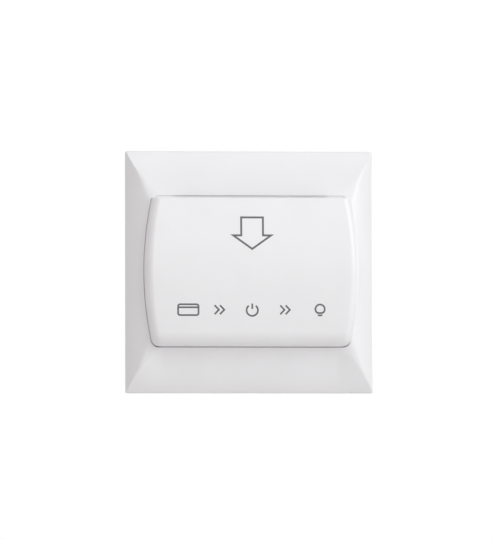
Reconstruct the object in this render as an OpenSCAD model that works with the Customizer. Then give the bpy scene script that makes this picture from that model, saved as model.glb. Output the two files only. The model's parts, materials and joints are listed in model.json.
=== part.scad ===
// Hotel key card switch for an 86 mm wall box.
// The pieces are drawn on the bench: x to the right, y up the wall, z out of the wall, in millimetres.
// Each piece is then stood upright, so that the wall is the plane Y = 0 and the front faces -Y.
// The origin is the middle of the plane that lies on the wall.

/* [Surround] */
// Width of the surround
plate_w = 88; // [86:0.5:96]
// Height of the surround
plate_h = 86; // [85:0.5:96]
// Height of the surround's rim above the wall
rim_h = 3.6; // [3:0.1:4.5]
// Gap between the rim and the wall
rim_lift = 0.3; // [0.1:0.1:0.5]
// Height of the crest, where the bevels end, above the wall
crest_h = 11; // [10.8:0.1:13]
// Width of the left and right bevels
side_bevel_w = 8.6; // [7.6:0.1:9.6]
// Width of the top and bottom bevels
end_bevel_w = 15.6; // [14.6:0.1:16.4]
// Radius of the left and right bevels
side_bevel_r = 20; // [14:0.5:40]
// Radius of the top and bottom bevels
end_bevel_r = 45; // [30:0.5:90]
// Wall of the surround
frame_wall = 2.2; // [1.8:0.1:2.4]
// Width of the notch for prying the surround off
pry_w = 7; // [4:0.5:12]
// Height of the notch for prying the surround off
pry_h = 1.2; // [0.8:0.1:1.8]

/* [Snap hooks] */
// Width of each hook
hook_w = 8; // [5:0.5:12]
// Distance between the two hooks of an edge
hook_pitch = 40; // [30:1:56]
// Thickness of each hook
hook_t = 0.7; // [0.5:0.05:0.8]
// How far each hook reaches under the base plate
hook_reach = 1.2; // [0.8:0.1:1.8]
// Play between a hook and its pocket
hook_gap = 0.15; // [0.1:0.05:0.3]
// Radius of the surround's seat posts
seat_post_r = 2.4; // [1.8:0.1:3]

/* [Card panel] */
// Width of the panel across its bowed sides
panel_w = 76; // [74:0.5:78]
// Height of the panel
panel_h = 54; // [52:0.5:55]
// Radius of the bowed sides
side_bow_r = 117; // [100:1:200]
// Radius of the face's crown
face_crown_r = 230; // [200:5:600]
// Thickness of the panel's face
panel_wall = 3; // [2.6:0.1:4]
// Thickness of the panel's skirt
skirt_wall = 2.6; // [2:0.1:3]
// Radius of the left and right edges of the face
flank_r = 3.2; // [2:0.1:4]
// Radius of the face's bottom edge
bottom_roll_r = 5.5; // [4:0.1:6]
// Radius of the face's top edge
top_edge_r = 0.9; // [0.5:0.1:1.5]
// Radius of the panel's two bottom corners
corner_r = 2.4; // [1.5:0.1:4]
// Gap between the panel's skirt and the groove in the surround
panel_fit = 0.3; // [0.2:0.05:0.5]
// Depth of the groove below the crest
groove_depth = 2.6; // [2:0.1:3]
// Thickness under the groove
bed_t = 1.6; // [1.2:0.1:2]

/* [Card slot] */
// Width of the card
card_w = 53.98; // [53.5:0.02:55]
// Play beside the card on each side
card_clear = 0.3; // [0.2:0.05:0.5]
// Depth of the slot from the crest to the back of the panel
channel_d = 4.4; // [4.2:0.1:5]
// Thickness of the walls beside the card
guide_wall = 1.6; // [1.2:0.1:2]
// Width of the ribs that guide the card's edges
edge_rib_w = 1.7; // [1.2:0.1:2.4]
// Room for the card's edge behind the ribs
edge_gap = 2.1; // [1.6:0.1:2.6]
// Depth of the bar that stops the card
stop_bar_d = 1.4; // [1:0.1:2]
// Size of the lead-in at the mouth
lead_in = 1; // [0.6:0.1:1.4]

/* [Screws] */
// Radius of the small screws
screw_r = 1; // [0.8:0.05:1.1]
// Radius of the small screws' heads
screw_head_r = 1.9; // [1.6:0.1:2.1]
// Height of the small screws' heads
screw_head_h = 1.4; // [1:0.1:1.6]
// Width of the drive slot in a screw's head
drive_w = 0.5; // [0.4:0.05:0.7]
// Depth of the drive slot
drive_d = 0.7; // [0.4:0.05:0.8]
// Gap between a thread and its hole
thread_gap = 0.03; // [0.02:0.01:0.05]
// Play of a screw in a through hole
hole_play = 0.25; // [0.2:0.05:0.4]
// Radius of the panel's screw bosses
boss_r = 2.3; // [2:0.1:2.5]
// Distance between the upper and the lower panel screws
boss_pitch = 34; // [28:1:40]
// Length of the panel screws' threads
panel_screw_l = 5.6; // [4.4:0.1:6]

/* [Base plate] */
// Thickness of the base plate
base_t = 2.4; // [2.2:0.1:3]
// Gap between the base plate and the surround's rim
base_gap = 1.3; // [1:0.1:1.6]
// Thickness of the lip that the hooks hold
lip_t = 1.2; // [1:0.1:1.4]
// Distance between the two wall screws
wall_screw_pitch = 60.3; // [60:0.1:62]
// Half the width of a wall screw slot
wall_slot_r = 2.2; // [2.1:0.05:2.4]
// Length of a wall screw slot
wall_slot_l = 7; // [6:0.1:8]
// Depth of the housing's seat in the back of the base plate
seat_d = 0.8; // [0.5:0.1:1]
// Play between the housing and its seat
seat_gap = 0.2; // [0.1:0.05:0.3]
// Width of the window for the lever
window_w = 18; // [17:0.5:20]
// Thickness of the ears that hold the lever's pin
ear_t = 2.5; // [2:0.1:4]

/* [Lever] */
// Height of the lever's pivot on the wall, from the middle
pivot_y = -2; // [-3:0.1:-1]
// Distance of the lever's pivot from the wall
pivot_h = 5.4; // [5.3:0.05:5.6]
// Radius of the lever's pin
pin_r = 1; // [0.8:0.05:1.2]
// Running clearance of the lever on its pin
pin_gap = 0.05; // [0.03:0.01:0.1]
// Gap between the pin and its ears
pin_seat_gap = 0.02; // [0.01:0.01:0.05]
// Radius of the lever's hub
hub_r = 2.6; // [2.2:0.1:2.7]
// Width of the lever's arm
arm_w = 7; // [5:0.5:7]
// Thickness of the lever's arm
arm_t = 3.2; // [2.4:0.1:3.4]
// Distance from the pivot down to the nose's tip
lever_reach = 15; // [14:0.1:15.6]
// How far the nose stands out of the crest at rest
nose_reach = 5; // [4.6:0.1:5.2]
// Radius of the nose's tip
tip_r = 1; // [0.7:0.1:1.2]
// Distance from the pivot down to the root of the nose
nose_root = 9.4; // [8.6:0.1:10]
// Distance from the pivot down to the end of the arm
arm_end = 17; // [16:0.1:17]
// Gap between the arm and the surround at rest
stop_gap = 0.2; // [0.15:0.05:0.4]
// How far the nose sinks below the crest when it is pressed
flush_gap = 0.1; // [0.05:0.05:0.3]
// Clearance round the nose
nose_clear = 0.6; // [0.4:0.05:0.8]
// Distance from the pivot down to the pad that presses the plunger
pad_y = 3.4; // [3:0.1:3.8]
// Distance from the pivot back to the pad
pad_back = 1.4; // [1.2:0.05:1.6]
// Radius of the pad
pad_r = 1.2; // [1:0.05:1.3]
// Gap between a turning piece and the ear beside it
side_play = 0.3; // [0.2:0.05:0.4]

/* [Lever spring] */
// Diameter of the spring's wire
wire_d = 0.5; // [0.4:0.05:0.55]
// Radius of the coil at the middle of the wire
coil_r = 2.65; // [2.5:0.05:2.65]
// Number of turns
coil_turns = 4; // [3:1:4]
// Distance from turn to turn
coil_pitch = 1; // [0.95:0.01:1.02]
// Length of the leg on the base plate
fixed_leg = 9; // [6:0.5:12]
// Length of the leg behind the arm
moving_leg = 11; // [10:0.5:12]
// Width of the shelf that the moving leg presses
shelf_w = 2.2; // [1.8:0.1:2.4]
// Length of the shelf that the moving leg presses
shelf_l = 3; // [2:0.5:4]
// Gap between the spring's legs and what they press
leg_gap = 0.1; // [0.05:0.05:0.2]

/* [Microswitch] */
// Length of the switch
switch_l = 19.8; // [18:0.1:20]
// Thickness of the switch
switch_t = 6.4; // [6:0.1:7]
// Height of the switch
switch_h = 10.2; // [9.6:0.1:11]
// Walls of the switch
switch_wall = 1.2; // [1:0.1:1.3]
// Thickness of the switch's cover
cover_t = 1; // [0.8:0.1:1.2]
// Distance from the wall plane back to the top of the switch
switch_drop = 0.4; // [0.3:0.1:0.6]
// Distance from the plunger to the middle of the switch
switch_shift = 3; // [2.8:0.1:3.2]
// Radius of the plunger
plunger_r = 1.2; // [1:0.05:1.3]
// Running clearance of the plunger
plunger_gap = 0.05; // [0.03:0.01:0.1]
// Gap between the plunger and the lever's pad at rest
press_gap = 0.15; // [0.1:0.05:0.2]
// Radius of the plunger's collar
collar_r = 1.6; // [1.5:0.05:1.8]
// Thickness of the plunger's collar
collar_t = 0.5; // [0.4:0.05:0.6]
// Radius of the plunger's foot
foot_r = 0.5; // [0.4:0.05:0.6]
// Length of the plunger's foot
foot_l = 1.2; // [1:0.1:1.4]
// Thickness of the contact blade
blade_t = 0.3; // [0.2:0.05:0.4]
// Width of the contact blade
blade_w = 2.4; // [2:0.1:3]
// Radius of the blade's rolled heel
heel_r = 0.35; // [0.25:0.05:0.45]
// Distance from the plunger to the blade's pivot
blade_arm = 10.6; // [10:0.1:10.8]
// Distance from the plunger to the contact rivet
rivet_x = 3.6; // [3.4:0.1:3.8]
// Radius of the contact rivets
rivet_r = 0.8; // [0.6:0.05:0.9]
// How far a contact rivet stands out of its strip
rivet_h = 0.35; // [0.3:0.05:0.5]
// Gap between contacts that are nearly closed
contact_gap = 0.05; // [0.03:0.01:0.1]
// Thickness of the terminal strips
strip_t = 0.4; // [0.3:0.05:0.5]
// Width of the terminal strips
strip_w = 2; // [1.6:0.1:2.4]

/* [Circuit board] */
// Thickness of the board
board_t = 1.6; // [1.2:0.1:2]
// Gap round the board
board_gap = 0.4; // [0.3:0.1:0.6]
// Gap between the switch and the board
switch_foot = 0.3; // [0.2:0.05:0.5]
// Radius of the board's posts
post_r = 2.6; // [2.2:0.1:2.8]
// Distance of the board screws from the sides of the board
board_screw_inset = 2.7; // [2.6:0.05:3]
// Height of the upper board screws on the board
upper_screw_y = 12; // [11:0.1:13]
// Height of the lower board screws above the partition over the terminals
lower_screw_y = 2.7; // [2.4:0.1:3.2]
// Length of the board screws' threads
board_screw_l = 6; // [5:0.1:7]
// Radius of the components' leads
lead_r = 0.4; // [0.3:0.05:0.5]
// How far the leads stand out of the board
lead_stub = 1; // [0.6:0.1:1.4]
// Play of a lead in its hole
lead_gap = 0.1; // [0.05:0.05:0.2]
// Width, length and height of the relay
relay_size = [15.5, 19, 15.3];
// Width, length and height of the film capacitor
film_size = [7, 18, 13];
// Radius of the electrolytic capacitor
can_r = 5; // [4:0.1:5.2]
// Height of the electrolytic capacitor
can_h = 12; // [10:0.1:14]
// Width, length and height of the bridge rectifier
bridge_size = [8.4, 6.4, 3.4];
// Radius of the fuse
fuse_r = 4.2; // [3.8:0.1:4.4]
// Height of the fuse
fuse_h = 8; // [7:0.1:10]
// Radius of the varistor
varistor_r = 5; // [4:0.1:5.2]
// Thickness of the varistor
varistor_t = 4; // [3:0.1:4.4]
// Width, length and height of the controller chip
chip_size = [4.9, 3.9, 1.5];
// Width, length and height of a chip resistor
resistor_size = [1.25, 2, 0.5];
// Number of chip resistors
resistor_count = 6; // [4:1:8]

/* [Terminals] */
// Distance from pole to pole
pole_pitch = 9; // [8.8:0.1:9.1]
// Gap between poles
pole_gap = 0.2; // [0.1:0.05:0.4]
// Length of a pole along the wire
pole_l = 12; // [11.6:0.1:12.4]
// Height of a pole above the board
pole_h = 13; // [12.6:0.1:14]
// Radius of a wire entry
wire_r = 1.9; // [1.7:0.05:2]
// Thickness of the wall round a wire entry
entry_wall = 3; // [2.6:0.1:3.4]
// Distance from the board to the wire
wire_up = 5; // [4.8:0.1:5.2]
// Width of a clamp
cage_w = 6; // [5.6:0.1:6.4]
// Length of a clamp
cage_l = 7; // [6.6:0.1:7.2]
// Walls of a clamp
cage_wall = 1.8; // [1.6:0.1:2]
// Gap between a clamp and its pole
cage_gap = 0.2; // [0.1:0.05:0.3]
// Radius of a clamp screw
clamp_screw_r = 1.5; // [1.3:0.05:1.7]
// Radius of a clamp screw's head
clamp_head_r = 2.3; // [2:0.1:2.4]
// Height of a clamp screw's head
clamp_head_h = 2; // [1.6:0.1:2.4]
// Radius of the tab that fixes a clamp to the board
tab_r = 0.7; // [0.6:0.05:0.8]

/* [Rear housing] */
// Width of the housing
housing_w = 51; // [50:0.1:51.4]
// Height of the housing on the wall
housing_l = 60; // [59:0.1:62]
// Walls of the housing
housing_wall = 1.6; // [1.4:0.1:1.8]
// Room behind the tallest component
rear_room = 0.6; // [0.4:0.1:2]
// Distance of the housing's screws from its outer faces
housing_screw_inset = 3.6; // [3.5:0.1:3.8]
// Radius of the housing's screw bosses
housing_boss_r = 2.4; // [2.2:0.1:2.6]
// Length of the housing screws' threads
housing_screw_l = 11; // [8:0.1:14]
// Gap round the terminals in the housing's notch
notch_gap = 0.6; // [0.4:0.1:0.8]

/* [Hidden] */
// Fineness of small round shapes and of wide arcs
$fn = 64;
arc_fn = 240;
// How far a cut runs past a face, and how deep joined shapes of one piece sink into each other
past = 1;
merge = 0.2;
// Thickness of the slices that the panel's face is stretched over
slice_t = 0.02;
// Least radius at which a corner is still rounded
least_r = 0.3;
// Facets of a rounded corner in the panel's outline, and the angle left out at both ends
corner_steps = 6;
corner_trim = 1;

white = "#f3f3f1";
pale_grey = "#d9d9d6";
steel = "#b9bcc0";
brass = "#c9a75a";
black = "#26282b";
board_green = "#2f6b45";

// Surround
frame_hw = plate_w / 2;
frame_hh = plate_h / 2;
under_h = crest_h - frame_wall;
groove_h = crest_h - groove_depth;

// Card slot and panel
channel_half = card_w / 2 + card_clear;
channel_top_h = crest_h + channel_d;
panel_front_h = channel_top_h + panel_wall;
skirt_foot_h = groove_h + merge;
panel_hh = panel_h / 2;
boss_x = channel_half + guide_wall + boss_r - merge;
boss_places = [for (sx = [-1, 1], sy = [-1, 1]) [sx * boss_x, sy * boss_pitch / 2]];

// Base plate
base_hw = frame_hw - frame_wall - base_gap;
base_hh = frame_hh - frame_wall - base_gap;
hook_places = [for (sx = [-1, 1], sy = [-1, 1]) [sx * hook_pitch / 2, sy]];
seat_post_x = base_hw - 2 * seat_post_r - past;
seat_post_y = panel_hh - seat_post_r;
ear_r = under_h - pivot_h - side_play;

// Lever, measured from its pivot
arm_top = under_h - stop_gap - pivot_h;
tip = [-lever_reach, crest_h + nose_reach - tip_r - pivot_h];
flush = crest_h - flush_gap - tip_r - pivot_h;
lever_swing = atan2(tip.y, lever_reach) - asin(flush / norm(tip));
pressed_tip_y = -lever_reach * cos(lever_swing) - tip.y * sin(lever_swing);
pad_drop = pad_y * sin(lever_swing) - pad_back * (1 - cos(lever_swing));
pad_slide = pad_y - pad_y * cos(lever_swing) + pad_back * sin(lever_swing);
nose_window = [pivot_y + pressed_tip_y - tip_r - nose_clear, pivot_y - nose_root + nose_clear];
hub_left = -window_w / 2 + side_play;
coil_right = window_w / 2 - side_play - wire_d;
coil_left = coil_right - coil_turns * coil_pitch;
hub_right = coil_left - wire_d / 2 - leg_gap;

// Microswitch
switch_y = pivot_y - pad_y + pad_slide / 2;
switch_top = -switch_drop;
switch_floor = switch_top - switch_h + switch_wall;
switch_ceiling = switch_top - switch_wall;
switch_left = -switch_shift - switch_l / 2;
switch_right = -switch_shift + switch_l / 2;
switch_back = switch_y + switch_t / 2;
switch_split = switch_y - switch_t / 2 + cover_t;
plunger_top = pivot_h - pad_back - pad_r - press_gap;
collar_top = switch_ceiling - contact_gap;
foot_end = collar_top - collar_t - foot_l;
blade_top = foot_end - press_gap;
blade_mid = blade_top - blade_t / 2;
blade_turn = asin(pad_drop / blade_arm);
blade_tip = rivet_x + rivet_r + contact_gap;
tip_travel = (blade_arm + blade_tip) * sin(blade_turn);
closed_top = blade_top + rivet_h + contact_gap;
open_top = blade_top - blade_t - rivet_h - tip_travel - 2 * contact_gap;
post_x = -blade_arm;
open_leg_x = rivet_x - rivet_r;
closed_leg_x = switch_right - switch_wall - strip_t;

// Circuit board
board_front = switch_top - switch_h - switch_foot;
board_rear = board_front - board_t;
board_w = housing_w - 2 * housing_wall - 2 * board_gap;
board_l = housing_l - 2 * housing_wall - 2 * board_gap;
pin_places = [[post_x, switch_y], [open_leg_x, switch_y], [closed_leg_x, switch_y]];

// Terminals
pole_count = 4;
pole_xs = [for (i = [0 : pole_count - 1]) (i - (pole_count - 1) / 2) * pole_pitch];
pole_mouth = -board_l / 2 + notch_gap;
pole_back = pole_mouth + pole_l;
wire_z = board_rear - wire_up;
cage_mouth = pole_mouth + entry_wall + cage_gap;
cage_mid = cage_mouth + cage_l / 2;
cage_front = wire_z + wire_r + cage_wall;
cage_rear = wire_z - wire_r - cage_wall;
pole_rear = board_rear - pole_h;

// Rear housing
housing_rear = board_rear - relay_size.z - rear_room - housing_wall;
housing_bosses = [
    for (sx = [-1, 1], sy = [-1, 1])
        [sx * (housing_w / 2 - housing_screw_inset), sy * (housing_l / 2 - housing_screw_inset)]
];
notch_half = pole_count * pole_pitch / 2 + notch_gap;
notch_top = pole_back + notch_gap;

// Places on the board: the lower row stands on the partition over the terminals, the can hangs from the top
bay_low = notch_top + housing_wall;
board_screw_x = board_w / 2 - board_screw_inset;
board_screw_places = [
    for (sx = [-1, 1], y = [bay_low + lower_screw_y, upper_screw_y]) [sx * board_screw_x, y]
];
varistor_room = 3;
fuse_room = 5.2;
chip_room = 2.25;
resistor_room = 1.8;
can_room = 4;
relay_at = [-9.8, 13.6];
film_at = [3.8, 13];
bridge_at = [13.2, 7.4];
can_at = [14, board_l / 2 - can_r - can_room];
fuse_at = [16.6, bay_low + fuse_r + fuse_room];
varistor_at = [-15, bay_low + varistor_r + varistor_room];
chip_at = [-4.6, bay_low + chip_size.y / 2 + chip_room];
resistor_at = [2.4, bay_low + resistor_size.y / 2 + resistor_room];
resistor_pitch = 2.2;
// Places of each component's leads, from its middle
relay_pins = [[-5.5, -7.6], [0, -7.6], [5.5, -7.6], [-5.5, 5.6], [5.5, 5.6]];
film_pins = [[0, -7.5], [0, 7.5]];
can_pins = [[-1.75, 0], [1.75, 0]];
bridge_pins = [[-2.5, -2.3], [2.5, -2.3], [-2.5, 2.3], [2.5, 2.3]];
fuse_pins = [[0, -2.54], [0, 2.54]];
varistor_pins = [[0, -2.5], [0, 2.5]];
function places(at, pins) = [for (pin = pins) at + pin];
lead_places = concat(
    places(relay_at, relay_pins), places(film_at, film_pins), places(can_at, can_pins),
    places(bridge_at, bridge_pins), places(fuse_at, fuse_pins), places(varistor_at, varistor_pins)
);

// Stands a bench drawing upright against the wall
module upright() {
    rotate([90, 0, 0]) children();
}

// The shape and its mirror image on the other side of the middle
module both_sides() {
    children();
    mirror([1, 0, 0]) children();
}

// A drawing in x and z, drawn out along y
module along_y(length) {
    rotate([90, 0, 0]) linear_extrude(length, center = true) children();
}

// A drawing in y and z, drawn out along x
module along_x(length) {
    rotate([90, 0, 90]) linear_extrude(length, center = true) children();
}

// A box from its least corner to its greatest
module block(low, high) {
    translate(low) cube(high - low);
}

// A box centred on the middle, between two heights
module slab(w, l, low, high) {
    block([-w / 2, -l / 2, low], [w / 2, l / 2, high]);
}

// A round bar at a place, between two heights
module bar(place, r, low, high) {
    translate([place.x, place.y, low]) cylinder(h = high - low, r = r);
}

// A round bar along x
module cross_bar(r, left, right) {
    translate([left, 0, 0]) rotate([0, 90, 0]) cylinder(h = right - left, r = r);
}

// A pan-head screw at a place, its head's seat at a height, pointing up (1) or down (-1)
module screw(place, seat, length, r, head_r, head_h, point) {
    translate([place.x, place.y, seat]) pointing(point) difference() {
        union() {
            cylinder(h = length, r = r);
            translate([0, 0, -head_h]) cylinder(h = head_h, r = head_r);
        }
        slab(2 * head_r + past, drive_w, -head_h - past, drive_d - head_h);
    }
}

// Keeps a shape as it is (1) or turns it upside down (-1)
module pointing(point) {
    if (point > 0) children();
    else rotate([180, 0, 0]) children();
}

// The small screw that holds the panel, the board and the housing
module small_screw(place, seat, length, point) {
    screw(place, seat, length, screw_r, screw_head_r, screw_head_h, point);
}

// Centre of the arc of a bevel, in the plane of its section
function bevel_centre(half, bevel, r) =
    let (rise = crest_h - rim_h, chord = norm([bevel, rise]))
    [half - bevel / 2, (crest_h + rim_h) / 2] - [rise, bevel] / chord * sqrt(r * r - chord * chord / 4);

// Section of the surround: a plate whose two shoulders are arcs
module shoulder_section(half, low, top, centre, r) {
    difference() {
        translate([-half, low]) square([2 * half, top - low]);
        both_sides() difference() {
            translate(centre) square([half + past, top + past] - centre);
            translate(centre) circle(r, $fn = arc_fn);
        }
    }
}

// The surround's solid shape, shrunk by a wall, from a lowest height
module surround_shape(wall, low) {
    intersection() {
        along_y(plate_h - 2 * wall) shoulder_section(
            frame_hw - wall, low, crest_h - wall,
            bevel_centre(frame_hw, side_bevel_w, side_bevel_r), side_bevel_r - wall
        );
        along_x(plate_w - 2 * wall) shoulder_section(
            frame_hh - wall, low, crest_h - wall,
            bevel_centre(frame_hh, end_bevel_w, end_bevel_r), end_bevel_r - wall
        );
    }
}

// What rounds one bottom corner of the panel's outline away: a bent strip outside the corner's arc
module corner_cut(reach, bow, r) {
    bow_x = side_bow_r - panel_w / 2;
    centre_y = r - reach;
    centre = [bow_x - sqrt(pow(bow - r, 2) - centre_y * centre_y), centre_y];
    first = 180 + atan2(-centre.y, bow_x - centre.x) + corner_trim;
    turn = 270 - corner_trim - first;
    rays = [for (i = [0 : corner_steps]) let (a = first + turn * i / corner_steps) [cos(a), sin(a)]];
    polygon(concat(
        [for (i = [0 : corner_steps]) centre + r * rays[i]],
        [for (i = [corner_steps : -1 : 0]) centre + 2 * r * rays[i]]
    ));
}

// Outline of the panel, grown or shrunk all round
module panel_outline(grow) {
    reach = panel_hh + grow;
    bow = side_bow_r + grow;
    difference() {
        intersection() {
            square([2 * panel_w, 2 * reach], center = true);
            translate([side_bow_r - panel_w / 2, 0]) circle(bow, $fn = arc_fn);
            translate([panel_w / 2 - side_bow_r, 0]) circle(bow, $fn = arc_fn);
        }
        if (corner_r + grow > least_r) both_sides() corner_cut(reach, bow, corner_r + grow);
    }
}

// Hollow of the panel inside its skirt, open at the top for the card
module panel_hollow(shrink) {
    panel_outline(-skirt_wall - shrink);
    half = channel_half - shrink;
    translate([-half, 0]) square([2 * half, panel_hh + past]);
}

// Where the panel's skirt stands, with a gap on both sides
module skirt_ring(gap) {
    difference() {
        panel_outline(gap);
        panel_hollow(gap);
    }
}

module front_frame() {
    bed_low = groove_h - bed_t;
    color(white) upright() difference() {
        union() {
            difference() {
                surround_shape(0, rim_lift);
                surround_shape(frame_wall, rim_lift - past);
            }
            intersection() {
                surround_shape(0, rim_lift);
                union() {
                    translate([0, 0, bed_low]) linear_extrude(under_h + merge - bed_low)
                        skirt_ring(bed_t);
                    for (sx = [-1, 1], sy = [-1, 1])
                        bar([sx * seat_post_x, sy * seat_post_y], seat_post_r, base_t, crest_h);
                }
            }
            for (place = hook_places) frame_hook(place.x, place.y);
        }
        translate([0, 0, groove_h]) linear_extrude(crest_h) skirt_ring(panel_fit);
        block(
            [-arm_w / 2 - nose_clear, nose_window[0], bed_low],
            [arm_w / 2 + nose_clear, nose_window[1], crest_h + past]
        );
        for (place = boss_places) {
            bar(place, screw_r + hole_play, under_h - past, crest_h + past);
            bar(place, screw_head_r + hole_play, bed_low - past, under_h);
        }
        block(
            [-pry_w / 2, -frame_hh - past, 0],
            [pry_w / 2, -frame_hh + frame_wall + past, rim_lift + pry_h]
        );
    }
}

// A hook inside the upper (1) or lower (-1) rim
module frame_hook(x, side) {
    top = lip_t - hook_gap;
    mirror([0, side < 0 ? 1 : 0, 0])
        block(
            [x - hook_w / 2, base_hh - hook_reach, top - hook_t],
            [x + hook_w / 2, frame_hh - frame_wall + merge, top]
        );
}

// Height of the panel's face above the wall, and half its width, at a place up the panel
function face_at(y) = panel_front_h - face_crown_r + sqrt(face_crown_r * face_crown_r - y * y);
function bow_at(y) = panel_w / 2 - side_bow_r + sqrt(side_bow_r * side_bow_r - y * y);

// How much the rounded bottom corners take off the panel's half width
function corner_loss(y) =
    let (below = corner_r - panel_hh - y)
    below <= 0 ? 0 : corner_r - sqrt(max(corner_r * corner_r - below * below, 0));

// A slice of the panel: its place, half its width and its height
function slice_at(y, h) = [y, bow_at(y) - corner_loss(y), h];
roll_y = bottom_roll_r - panel_hh;
edge_y = panel_hh - top_edge_r;
face_steps = 8;
panel_slices = concat(
    [
        for (a = [90 : -15 : 0])
            slice_at(roll_y - bottom_roll_r * sin(a), face_at(roll_y) - bottom_roll_r * (1 - cos(a)))
    ],
    [
        for (i = [1 : face_steps - 1])
            let (y = roll_y + (edge_y - roll_y) * i / face_steps) slice_at(y, face_at(y))
    ],
    [
        for (a = [0 : 30 : 90])
            slice_at(edge_y + top_edge_r * sin(a), face_at(edge_y) - top_edge_r * (1 - cos(a)))
    ]
);

// Section of the panel with rounded edges, between its foot and a height
module panel_section(half, top) {
    r = min(flank_r, top - skirt_foot_h - merge);
    flank = [for (a = [0 : 15 : 90]) [half - r + r * cos(a), top - r + r * sin(a)]];
    polygon(concat(
        [[-half, skirt_foot_h], [half, skirt_foot_h]],
        flank,
        [for (i = [len(flank) - 1 : -1 : 0]) [-flank[i].x, flank[i].y]]
    ));
}

module card_panel() {
    tip_h = crest_h + nose_reach;
    tip_y = pivot_y - lever_reach;
    stop_y = skirt_wall - panel_hh;
    color(white) upright() difference() {
        union() {
            difference() {
                hull() for (s = panel_slices)
                    translate([0, s[0], 0]) along_y(slice_t) panel_section(s[1], s[2]);
                translate([0, 0, skirt_foot_h - past])
                    linear_extrude(channel_top_h - skirt_foot_h + past) panel_hollow(0);
            }
            both_sides() {
                block(
                    [channel_half, stop_y - merge, crest_h],
                    [channel_half + guide_wall, panel_hh - skirt_wall + merge, channel_top_h + merge]
                );
                block(
                    [channel_half - edge_rib_w, stop_y - merge, crest_h + edge_gap],
                    [channel_half + merge, panel_hh - lead_in, channel_top_h + merge]
                );
            }
            block(
                [-channel_half - merge, stop_y - merge, crest_h + edge_gap],
                [channel_half + merge, stop_y + stop_bar_d, channel_top_h + merge]
            );
            for (place = boss_places) bar(place, boss_r, crest_h, channel_top_h + merge);
        }
        block(
            [-arm_w / 2 - nose_clear, tip_y - tip_r - nose_clear, crest_h],
            [arm_w / 2 + nose_clear, tip_y + 2 * tip_r + nose_clear, tip_h + nose_clear]
        );
        along_x(2 * channel_half) polygon([
            [panel_hh - lead_in, channel_top_h - merge],
            [panel_hh - lead_in, channel_top_h],
            [panel_hh + past, channel_top_h + lead_in + past],
            [panel_hh + past, channel_top_h - merge]
        ]);
        for (place = boss_places)
            bar(place, screw_r + thread_gap, crest_h - past, under_h + panel_screw_l + merge);
    }
}

module panel_screws() {
    color(steel) upright() for (place = boss_places) small_screw(place, under_h, panel_screw_l, 1);
}

// A slot with round ends along x
module round_slot(length, r) {
    run = length - 2 * r;
    square([run, 2 * r], center = true);
    both_sides() translate([run / 2, 0]) circle(r);
}

module base_plate() {
    window = [nose_window[0] - nose_clear, pivot_y + hub_r + nose_clear];
    color(pale_grey) upright() difference() {
        union() {
            difference() {
                slab(2 * base_hw, 2 * base_hh, 0, base_t);
                slab(housing_w + 2 * seat_gap, housing_l + 2 * seat_gap, -past, seat_d);
                block([-window_w / 2, window[0], -past], [window_w / 2, window[1], base_t + past]);
                for (place = hook_places) hook_pocket(place.x, place.y);
                for (sx = [-1, 1])
                    translate([sx * wall_screw_pitch / 2, 0, -past])
                        linear_extrude(base_t + 2 * past) round_slot(wall_slot_l, wall_slot_r);
                for (place = housing_bosses) bar(place, screw_r + hole_play, -past, base_t + past);
            }
            both_sides() translate([window_w / 2, pivot_y, 0]) {
                block([0, -ear_r, base_t - merge], [ear_t, ear_r, pivot_h]);
                translate([0, 0, pivot_h]) cross_bar(ear_r, 0, ear_t);
            }
            for (place = board_screw_places) bar(place, post_r, board_front, seat_d + merge);
        }
        translate([0, pivot_y, pivot_h]) cross_bar(pin_r + pin_seat_gap, -window_w, window_w);
        for (place = board_screw_places)
            bar(place, screw_r + thread_gap, board_front - past, board_rear + board_screw_l + merge);
    }
}

// A pocket for a hook in the back of the upper (1) or lower (-1) edge
module hook_pocket(x, side) {
    half = hook_w / 2 + 2 * hook_gap;
    mirror([0, side < 0 ? 1 : 0, 0])
        block([x - half, base_hh - hook_reach - 2 * hook_gap, -past], [x + half, base_hh + past, lip_t]);
}

// Unit vector to the right of the way from one point to another
function right_of(from, to) = let (way = to - from) [way.y, -way.x] / norm(way);

// Side view of the lever, from its pivot
module lever_profile() {
    root = [-nose_root, arm_top];
    heel = [-arm_end, arm_top - arm_t];
    polygon([
        [0, hub_r / 2],
        [-hub_r, arm_top],
        root,
        tip + tip_r * right_of(root, tip),
        tip + tip_r * right_of(tip, heel),
        heel,
        [0, -hub_r / 2]
    ]);
    translate(tip) circle(tip_r);
    translate([-pad_y, -pad_back]) circle(pad_r);
}

module card_lever() {
    shelf_low = wire_d / 2 + leg_gap - coil_r;
    color(white) upright() translate([0, pivot_y, pivot_h]) difference() {
        union() {
            along_x(arm_w) lever_profile();
            cross_bar(hub_r, hub_left, hub_right);
            block(
                [arm_w / 2 - merge, -moving_leg, shelf_low],
                [arm_w / 2 + shelf_w, shelf_l - moving_leg, arm_top - merge]
            );
        }
        cross_bar(pin_r + pin_gap, hub_left - past, hub_right + past);
    }
}

module lever_pin() {
    half = window_w / 2 + ear_t;
    color(steel) upright() translate([0, pivot_y, pivot_h]) cross_bar(pin_r, -half, half);
}

// Middle line of the spring's wire, from the pivot: the leg on the base plate, the turns, the arm's leg
coil_steps = 8;
spring_path = concat(
    [[coil_right, fixed_leg, -coil_r]],
    [
        for (i = [0 : coil_turns * coil_steps])
            let (a = 360 * i / coil_steps)
            [coil_right - coil_pitch * i / coil_steps, -coil_r * sin(a), -coil_r * cos(a)]
    ],
    [[coil_left, -moving_leg, -coil_r]]
);

// Least gap of the wire to itself, on points at least half a turn apart
spring_gap = min([
    for (i = [1 : len(spring_path) - 2], j = [i + coil_steps / 2 : 1 : len(spring_path) - 2])
        norm(spring_path[i] - spring_path[j])
]) - wire_d;

// Unit vector along a list of points
function along(points, i) =
    let (way = points[min(i + 1, len(points) - 1)] - points[max(i - 1, 0)]) way / norm(way);

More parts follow.
